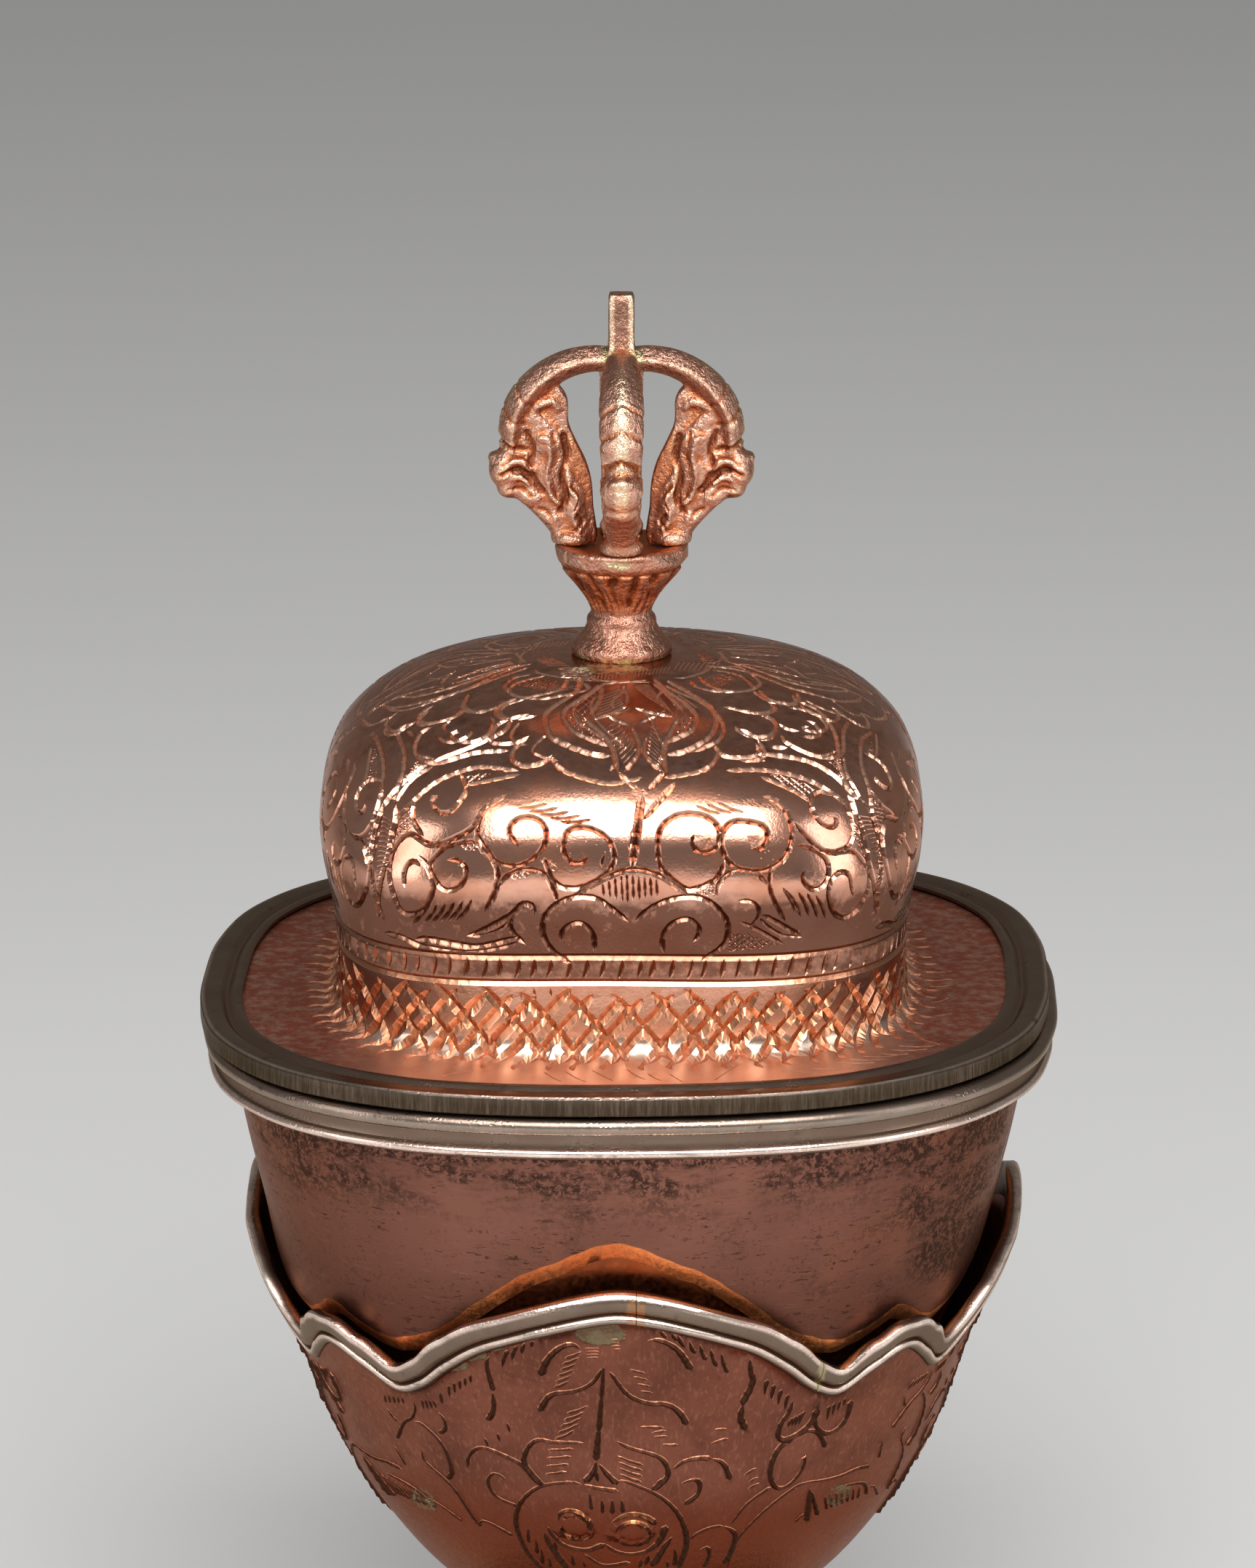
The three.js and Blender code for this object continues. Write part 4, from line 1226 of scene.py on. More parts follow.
# What is engraved on each of the four sides of the holder
holderDrawing = """
sheet 430 1780 3.4844
0.5: 1394,340 1388,420 1383,492
0.62: 1385,470 1376,570 1370,650
0.8: 1372,625 1362,720 1357,795
0.8: 1357,790 1345,845 1300,900
0.7: 1385,350 1350,410 1300,446 1240,465 1138,482 1083,562
0.85: 1285,266 1250,240 1200,246 1150,280 1112,330 1090,392
0.62: 845,292 834,340 866,462
0.72: 860,462 868,530 852,580 830,602
0.5: 620,525 616,495 611,462
0.5: 480,505 492,545 474,590 438,612 404,690
0.6: 480,605 530,625 622,722 666,832 656,870 640,878
0.5: 524,742 538,795 640,890 690,948 770,1068 812,1112
0.55: 600,560 630,600 636,642 603,665
0.45: 355,540 385,585 415,610
0.4: 390,720 420,770 450,822
0.5: 350,850 490,930 592,1022
0.4: 540,970 600,1000 722,1088
0.5: 790,1100 830,1086 962,1156
0.62: 740,830 750,772 785,737 840,740 960,792 1015,828 1052,872 1100,915
0.5: 932,895 900,866 865,856 840,884 850,928 890,975 982,1014
0.4: 840,730 832,705 822,682
0.4: 896,706 890,682 884,658
0.4: 943,662 938,636 928,608
0.65: 1298,710 1150,706 1085,695 1040,720 1014,772 1022,822 1096,913
fan 0.42 6 0.05: 1290,270 1203,305 1228,412 1150,446
fan 0.5 4 0.05: 906,350 936,262 1045,255 1062,202
fan 0.4 5 0.0: 655,492 652,430 756,425 756,378
fan 0.4 4 0.0: 532,552 523,497 592,548 578,500
fan 0.42 5 0.0: 350,520 345,474 434,524 430,488
fan 0.36 4 -0.02: 1120,742 1252,738 1112,858 1216,848
fan 0.38 5 0.06: 1318,530 1213,568 1256,645 1158,692
fan 0.2 4 0.0: 1296,256 1376,258 1300,302 1372,300
fan 0.2 4 0.0: 1424,214 1466,213 1424,262 1482,260
sheet 820 1780 3.3362
0.7: 58,350 130,446 190,484 250,500 310,501 360,522 395,560 414,600
0.8: 230,212 290,210 370,252 436,346
0.85: 702,290 706,350 714,402 665,502
0.9: 672,495 660,560 684,622
0.4: 200,605 255,608 312,610
0.32: 248,634 285,628 322,622
0.36: 258,650 292,651 326,648
0.36: 300,684 340,690 376,687
0.4: 540,617 570,618 600,614
0.42: 520,682 560,672 606,658
0.65: 90,670 150,702 280,742 320,782 326,830 290,872 250,896
0.3: 306,838 280,860 262,890
0.62: 345,806 400,766 470,750 530,752
0.75: 528,750 582,776 614,850
0.55: 385,866 440,850 465,862 470,902 440,940 398,963
0.5: 425,1130 460,1096 520,1070 582,1060
0.75: 582,1060 628,1088 632,1130 610,1190 580,1232
0.6: 470,1172 510,1158 515,1200 490,1250
0.45: 610,1060 690,960 802,880
0.45: 600,1250 640,1132 760,1000 900,890 962,862
0.7: 930,768 955,744 946,790 915,840 870,880 826,886 800,850 795,800 815,740 850,690 902,660
0.62: 902,660 970,625 1020,640 1050,702
0.8: 900,480 880,540 846,590 830,640 850,665 902,650 960,610 1000,560 1006,520
0.75: 1010,520 1000,580 1022,622 1062,636 1110,610 1146,560 1166,480
0.5: 900,886 960,862 1040,851 1120,830 1190,800 1252,785
0.85: 976,885 970,960 965,1036
0.6: 985,900 1000,960 1016,1012
0.4: 968,992 932,1020 908,1046
0.42: 735,792 702,812 672,832
0.4: 745,836 718,848 694,864
0.4: 748,862 720,876 690,894
fan 0.5 5 -0.06: 375,185 406,246 572,265 602,362
fan 0.5 2 -0.05: 286,155 324,202 340,165 372,215
fan 0.34 4 -0.04: 150,340 226,360 200,440 260,449
fan 0.38 4 -0.04: 95,738 216,781 105,820 210,860
fan 0.48 4 0.05: 876,610 902,558 924,602 956,530
fan 0.45 4 0.0: 1055,582 1066,505 1130,512 1142,468
fan 0.5 4 0.05: 770,462 786,385 862,532 882,452
fan 0.42 7 0.0: 1045,920 1056,986 1206,880 1196,936
sheet 640 1990 4.2378
0.65: 680,215 600,204 430,230 322,320 295,440 350,590 442,703
0.65: 880,196 940,202 1130,285 1245,400 1286,550 1240,703
0.62: 690,215 760,236 892,256
0.75: 775,92 820,150 886,218
0.5: 766,130 764,165 772,205
0.4: 722,260 728,320 736,368
0.42: 793,298 797,345 799,388
0.5: 853,298 856,345 853,392
0.45: 907,298 914,345 912,386
0.7: 540,424 556,380 610,366 672,386 716,422 740,470
0.45: 740,470 742,505 712,534 655,534 592,506 548,462
0.75: 845,440 930,396 990,390 1050,405 1090,430 1106,456
0.5: 872,500 890,452 965,424 1040,440 1072,480 1070,520 1020,550 950,560 892,538
0.75: 475,455 502,502 562,562 640,590 720,596 816,560
0.75: 816,560 850,592 910,616 980,621 1050,606 1110,565 1146,510 1166,450
0.95: 460,488 490,560 592,703
0.9: 1206,518 1170,562 1082,692
0.6: 690,620 802,686 962,670
0.4: 366,470 366,515 371,558
0.42: 410,534 416,580 416,622
0.42: 442,590 448,640 447,682
0.42: 520,545 526,575 526,606
0.45: 487,640 492,672 490,702
0.45: 620,625 628,660 632,692
0.42: 685,658 690,682 692,703
0.5: 1216,588 1220,640 1213,692
0.45: 1175,658 1178,682 1175,703
0.5: 1062,625 1056,660 1044,692
0.5: 1022,648 1018,678 1010,703
0.45: 1256,216 1310,190 1358,186 1370,230 1340,280 1268,331
"""

# Middles of the two eyes on the last sheet, and their half width and half height in millimetres
eyeSheet = (640, 1990, 4.2378)
eyes = [((640, 458), (2.2, 1.7)), ((972, 490), (2.35, 1.65))]

holderCurve = np.linspace(0, holder["hill"] + 6, 500)
holderStep = np.hypot(np.diff(holderCurve), np.diff(holderRadius(holderCurve + form["holderBase"])))
holderCurveLength = holder["base"] + np.concatenate([[0], np.cumsum(holderStep)])


def holderPlain(flat):
    # Point on the outside of the holder; the map radius is the length from the middle of its base
    along = np.hypot(flat[:, 0], flat[:, 1])
    angle = np.arctan2(flat[:, 1], flat[:, 0])
    height = form["holderBase"] + np.interp(along, holderCurveLength, holderCurve)
    radius = np.where(along < holder["base"], along, holderOutline(angle, height))
    return onPlan(radius, angle, height, form["standShift"])


eyeSpots = []


def holderFlat(flat):
    # The same with the raised eyes
    flat = np.asarray(flat, float)
    place = holderPlain(flat)
    for middle, (wide, high) in eyeSpots:
        gap = flat - middle
        out = middle / np.hypot(*middle)
        share = np.hypot(gap @ out / high, gap @ [out[1], -out[0]] / wide)
        rise = holder["eyeRise"] * np.sqrt(np.clip(1 - share**2, 0, 1))
        rise += holder["eyeRim"] * hump(share, 1.2, 0.15)
        lift = place - [form["standShift"], 0, form["rimTop"] - 8]
        lift /= np.linalg.norm(lift, axis=1, keepdims=True)
        place = place + lift * rise[:, None]
    return place


def fromAxis(points, shift):
    # Angle, reach and height of points round an upright axis
    reach = np.hypot(points[:, 1], points[:, 0] - shift)
    return np.arctan2(points[:, 1], points[:, 0] - shift), reach, points[:, 2]


def insideHolder(points):
    angle, reach, height = fromAxis(points, form["standShift"])
    within = reach < holderOutline(angle, np.maximum(height, form["holderBase"]))
    return within & (height > form["holderBase"]) & (height < holderEdge(angle))


def lengthUp(height):
    return np.interp(height - form["holderBase"], holderCurve, holderCurveLength)


def holderMap(points):
    angle, _, height = fromAxis(points, form["standShift"])
    return polar(lengthUp(height), angle)


def makeHolder():
    carving = Carving(holderFlat, 9, holder["strokeSwell"])
    left, top, zoom = eyeSheet
    for (x, y), size in eyes:
        middle = holderMap(meetSolid(np.array([[left + x / zoom, top + y / zoom]]), insideHolder))[0]
        eyeSpots.extend((turnedMap(middle, turn), size) for turn in quarterTurns)
    placeDrawing(carving, holderDrawing, insideHolder, holderMap, quarterTurns, holder["strokeWidth"])

    def beforeEdge(flat, more):
        # Which map points lie inside the edge, or up to a little more
        edge = lengthUp(holderEdge(np.arctan2(flat[:, 1], flat[:, 0])))
        return np.hypot(flat[:, 0], flat[:, 1]) < edge + more

    lengths = np.concatenate([[3, 6, 9.4], np.arange(11, 110, 1.5)])
    lengths = lengths[lengths < lengthUp(holderEdge(0.0)) + holder["wave"] + 14]
    grid = [ringGrid(lengths, [min(value, holder["base"] + value * 0.42) for value in lengths], 1.5)]
    rings = (0, 0.35, 0.65, 0.88, 1.0, 1.1, 1.2, 1.32, 1.5)
    counts = (1, 8, 14, 20, 26, 28, 30, 32, 32)
    for middle, size in eyeSpots:
        for ring, count in zip(rings, counts):
            grid.append(middle + polar(1.0, around(count)) * ring * np.mean(size))
    grid = np.concatenate(grid)
    grid = grid[beforeEdge(grid, -0.7)]
    angle = around(288)
    edge = holderEdge(angle)
    wall, base, shift = form["wall"], form["holderBase"], form["standShift"]
    inner = []
    for share in [1 - 0.8 * i / 24 for i in range(25)] + [0.15, 0.1]:
        height = base + (edge - base) * share
        radius = holderOutline(angle, height) - wall
        inner.append(onPlan(radius, angle, np.maximum(height, base + wall + wall * share), shift))
    inner += [onPlan(holder["floor"], angle, base + wall, shift), [shift, 0, base + wall]]
    rubs = holderFlat(np.array([middle for middle, _ in eyeSpots]))
    boundary = polar(lengthUp(edge), angle)
    carvedPiece("holderBowl", carving, grid, boundary, inner, lambda flat: beforeEdge(flat, 0.02), rubs)


def makeTrim(name, start, end, steps):
    # The moulding on the wavy edge, from one soldered seam to the next
    gap = 0.04 / holder["half"]
    angle = np.linspace(start + gap, end - gap, steps)
    rise = (holderEdge(angle + 0.01) - holderEdge(angle - 0.01)) / (0.02 * holder["half"])
    base = holderEdge(angle) + holder["trimSeat"]
    radius = holderOutline(angle, base) - form["wall"]
    lean = (holderOutline(angle, base + 3) - form["wall"] - radius) / 3
    places = onPlan(radius, angle, base, form["standShift"])
    seam = np.minimum(np.abs(angle - start), np.abs(end - angle)) * holder["half"]
    front = angleGap(angle, -pi / 2) * holder["half"]
    along = {
        "solder": np.clip(1 - seam / 1.6, 0, 1) * (front > 8) * 0.7,
        "rust": np.clip(1.2 - np.abs(front - 0.5) * 1.2, 0, 1),
    }
    path = (places, onPlan(1.0, angle, 0.0), np.hypot(rise, 1), lean)
    sizes = (holder["trimWidth"], holder["trimHeight"])
    sweptPiece(name, path, holder["trimOutline"], sizes, False, along)


makeHolder()
seamFront = -pi / 2
seamValley = -11 / 64 * 2 * pi
makeTrim("mouldingShort", seamFront, seamValley, 40)
makeTrim("mouldingLong", seamValley, seamFront + 2 * pi, 460)
print("holder made")

# Cup
cup = {
    "half": 47.9,
    "height": 78.6,
    "base": 6.4,
    "places": [0, 0.03, 0.09, 0.17, 0.26, 0.35, 0.45, 0.55, 0.61, 0.73, 0.83, 0.93, 1],
    "shares": [0, 0.135, 0.3, 0.45, 0.57, 0.665, 0.745, 0.822, 0.865, 0.911, 0.954, 0.988, 1],
    "skinWall": 1,
    "skinDrop": 0.9,
    "skinHill": 18.3,
    "skinWave": 14.8,
    "skinShares": [0, 0.08, 0.2, 0.36, 0.55, 0.77, 0.94, 1, 0.93, 0.8],
    "bandHeight": 5.6,
    "bandInset": 5.4,
    "rimLap": 0.4,
}
cupShare = smoothCurve(cup["places"], cup["shares"])
skinWaveAt = softCurve(cup["skinShares"])


def cupOutline(angle, height):
    share = cupShare((height - form["cupBase"]) / cup["height"])
    radius = cup["base"] + (cup["half"] - cup["base"]) * share
    return planRadius(angle, radius, squareness(height))


def skinEdge(angle):
    return form["rimTop"] - cup["skinHill"] - cup["skinWave"] * skinWaveAt(wavePlace(angle))


def makeCup():
    top = form["rimTop"] - cup["bandInset"] / 4 - form["clearance"]
    base, wall = form["cupBase"], form["wall"]
    floor = base + wall
    climb = [0, 0.01, 0.03, 0.06, 0.1, 0.15, 0.2] + [0.2 + 0.8 * i / 20 for i in range(1, 21)]
    angle = around(240)
    rows = []
    for inset, shares in ((0, climb), (wall, climb[:3:-1])):
        for share in shares:
            height = base + (top - base) * share
            reach = cupOutline(angle, height) - inset
            rows.append((reach, max(height, floor + wall * share) if inset else height))
    rows.append((cup["base"] / 2, floor))
    poledPiece("vessel", rows, (base, floor), angle, form["cupShift"])

    angle = around(400)
    uneven = 0.12 * np.sin(angle * 23 + 1) + 0.1 * np.sin(angle * 41 + 2) + 0.06 * np.sin(angle * 97)

    def skinRow(share, inset, lift):
        edge = skinEdge(angle) - cup["skinDrop"] + lift + (uneven if lift else 0)
        height = edge + (top - edge) * share
        return cupOutline(angle, height) + form["clearance"] + inset, height

    wall = cup["skinWall"]
    rows = [skinRow(0, 0, 0), skinRow(0, wall * 0.35, 0.05), skinRow(0, wall * 0.6, 1), skinRow(0, wall, 2.1)]
    raw = len(rows)
    rows += [skinRow(share, wall, 2.25) for share in [0, 0.05] + [i / 10 for i in range(1, 11)]]
    rows += [skinRow(share, 0, 0) for share in (1, 0.8, 0.6, 0.4, 0.2, 0.08)]
    edge = {"edge": [1] * raw + [0] * (len(rows) - raw)}
    ringPiece("skin", rows, angle, form["cupShift"], 40, edge)


def makeRimBand():
    # Distances inwards from the rim and down from the top, with the tarnish of the hollows and its painted
    # dark reflection, and the painted highlight of the bright beads
    band, inset = cup["bandHeight"], cup["bandInset"]
    outline = [(-inset, 0), (-2.3, 0, {"dull": 0.4})]
    for k in range(9):
        turn = pi * 0.5 - k / 8 * pi * 1.05
        across = 1.05 * math.cos(turn) - 1.05 if k else -1.6
        outline.append((across, 1.05 * math.sin(turn) - 1.05, {"clean": 0.2, "dull": 0.5 if k < 4 else 0}))
    hollow = [(-1.25, -2.35), (-1.42, -3.0), (-1.3, -3.6), (-1.0, -3.85)]
    outline += [(x, y, {"dull": 0.85}) for x, y in hollow]
    for k in range(7):
        turn = pi * 0.42 - k / 6 * pi * 0.84
        outline.append((0.6 * math.cos(turn) - 1.15, 0.55 * math.sin(turn) - 4.35, {"clean": 1}))
    outline += [(-1.25, -4.9, {"dull": 0.8}), (-1.35, -5.1, {"dull": 1})]
    angle = around(360)
    radius = planRadius(angle, form["rimHalf"] + cup["rimLap"])
    skin = cupOutline(angle, form["rimTop"]) + form["clearance"] + cup["skinWall"]
    seat = float(np.mean(skin - radius))
    lip = inset / 4
    outline += [(seat + 0.75, -band, {"dull": 1}), (seat + 0.3, -band), (seat + 0.3, -lip), (-inset, -lip)]
    path = levelPath(radius, angle, form["cupShift"], form["rimTop"])
    sweptPiece("rimBand", path, outline)


makeCup()
makeRimBand()
print("cup made")

# Lid
lid = {
    "strokeWidth": 1.22,
    "ringHeight": 2.35,
    "ringWidth": 5.2,
    "flat": 2.5,
    "coveWidth": 1.5,
    "coveDepth": 0.5,
    "rebate": 1.5,
    "sheet": 1,
    "domeHalf": 36.6,
    "domeHeight": 41,
    "fillet": 2.6,
    "domeShares": [
        (0.965, 0.02, 3.2), (0.945, 0.06, 3.4), (0.943, 0.15, 3.6), (0.948, 0.26, 3.8), (0.965, 0.36, 3.6),
        (0.99, 0.46, 3.4), (1, 0.54, 3.2), (0.99, 0.63, 3), (0.955, 0.72, 2.9), (0.89, 0.8, 2.7),
        (0.79, 0.87, 2.6), (0.66, 0.925, 2.4), (0.5, 0.962, 2.2), (0.33, 0.984, 2.1), (0.17, 0.996, 2),
        (0.0, 1.0, 2),
    ],
    # Length of the plate in the flat map, and how far inside the ring's edge it ends there
    "plateRun": 12.0,
    "plateEdge": 3.7,
    "mapEdge": 3.8,
}


def makeLidRing():
    # Distances inwards from the edge and down from the top
    flat, cove, deep = lid["flat"], lid["coveWidth"], lid["ringHeight"]
    wide, rebate = lid["ringWidth"], lid["ringWidth"] - lid["rebate"]
    # Tarnish marks also carry a painted dark reflection, and bright marks a painted highlight
    outline = [(0.28, 0, {"clean": 0.6})]
    outline += [(0.7, -0.02, {"dull": 0.5}), (flat - 0.1, -0.02, {"dull": 0.5}), (flat, 0.02, {"dull": 0.7})]
    for share in (0.2, 0.4, 0.6, 0.8):
        outline.append((flat + cove * share, lid["coveDepth"] * math.sin(pi * share) + 0.02, {"dull": 1}))
    outline.append((flat + cove, 0.02, {"dull": 0.8}))
    for share in (0.2, 0.4, 0.6, 0.8):
        across = flat + cove + (wide - flat - cove) * share
        outline.append((across, -0.18 * math.sin(pi * share), {"dull": 0.55}))
    outline += [(wide, 0.1, {"dull": 0.8}), (wide, 0.5), (rebate, 0.5), (rebate, deep), (0.25, deep)]
    # The side is marked for its painted dark reflection
    outline += [(0, deep - 0.2, {"side": 1}), (0, 1.2, {"side": 1}), (0, 0.3, {"side": 0.85})]
    outline = [(-across, -down, *marks) for across, down, *marks in outline]
    angle = around(360)
    path = levelPath(planRadius(angle, form["rimHalf"]), angle, form["lidShift"], form["lidTop"])
    sweptPiece("lidRing", path, outline, sharp=28)


makeLidRing()


def lidColumns():
    # Dome and plate outline from the axis outwards: radius at the sides, height and plan power
    half, high, plate, fillet = lid["domeHalf"], lid["domeHeight"], form["plateTop"], lid["fillet"]
    rows = [(half * r, plate + high * h, power) for r, h, power in lid["domeShares"]][::-1]
    foot = half * lid["domeShares"][0][0]
    rows += [(foot + fillet * 0.3, plate + 0.28, 3.1), (foot + fillet * 0.75, plate + 0.06, 3.0)]
    return np.array(rows)


lidOutline = lidColumns()
lidLength = np.concatenate([[0], np.cumsum(np.hypot(*np.diff(lidOutline[:, :2], axis=0).T))])
lidReach = [smoothCurve(lidLength, lidOutline[:, k]) for k in range(3)]
plateStart = lidLength[-1]


def lidSurface(along, angle):
    # Point on the lid at a length along its outline from the top; past the dome it is the flat plate
    along = np.asarray(along, float)
    radius, height, power = (read(np.minimum(along, plateStart)) for read in lidReach)
    dome = radius * squareShare(angle, power)
    edge = planRadius(angle, form["rimHalf"]) - lid["ringWidth"] + lid["rebate"] - form["clearance"]
    share = np.clip((along - plateStart) / lid["plateRun"], 0, 1)
    onPlate = along > plateStart
    radius = np.where(onPlate, dome + (edge - dome) * share, dome)
    height = np.where(onPlate, form["plateTop"] + 0.06 * (1 - np.clip(share * 8, 0, 1)), height)
    return onPlan(radius, angle, height, form["domeShift"] + (form["lidShift"] - form["domeShift"]) * share)


def lidFlat(flat):
    flat = np.asarray(flat, float)
    return lidSurface(np.hypot(flat[:, 0], flat[:, 1]), np.arctan2(flat[:, 1], flat[:, 0]))


lidFine = np.linspace(0, plateStart, 600)
lidFineHeight = lidReach[1](lidFine)


def lidAlong(height):
    return np.interp(-height, -lidFineHeight, lidFine)


def insideLid(points):
    angle, reach, height = fromAxis(points, form["domeShift"])
    along = lidAlong(height)
    radius = lidReach[0](along) * squareShare(angle, lidReach[2](along))
    onPlate = (height < form["plateTop"]) & (reach < planRadius(angle, form["rimHalf"]) - lid["plateEdge"])
    return onPlate | ((height < form["domeTop"]) & (reach < radius))


def lidMap(points):
    # Flat map of places on the lid
    angle, reach, height = fromAxis(points, form["domeShift"])
    dome = lidOutline[-1, 0] * squareShare(angle, lidOutline[-1, 2])
    edge = planRadius(angle, form["rimHalf"]) - lid["mapEdge"]
    flat = plateStart + lid["plateRun"] * (reach - dome) / (edge - dome)
    onPlate = (reach > dome) & (height < form["plateTop"] + 0.3)
    return polar(np.where(onPlate, flat, lidAlong(height)), angle)


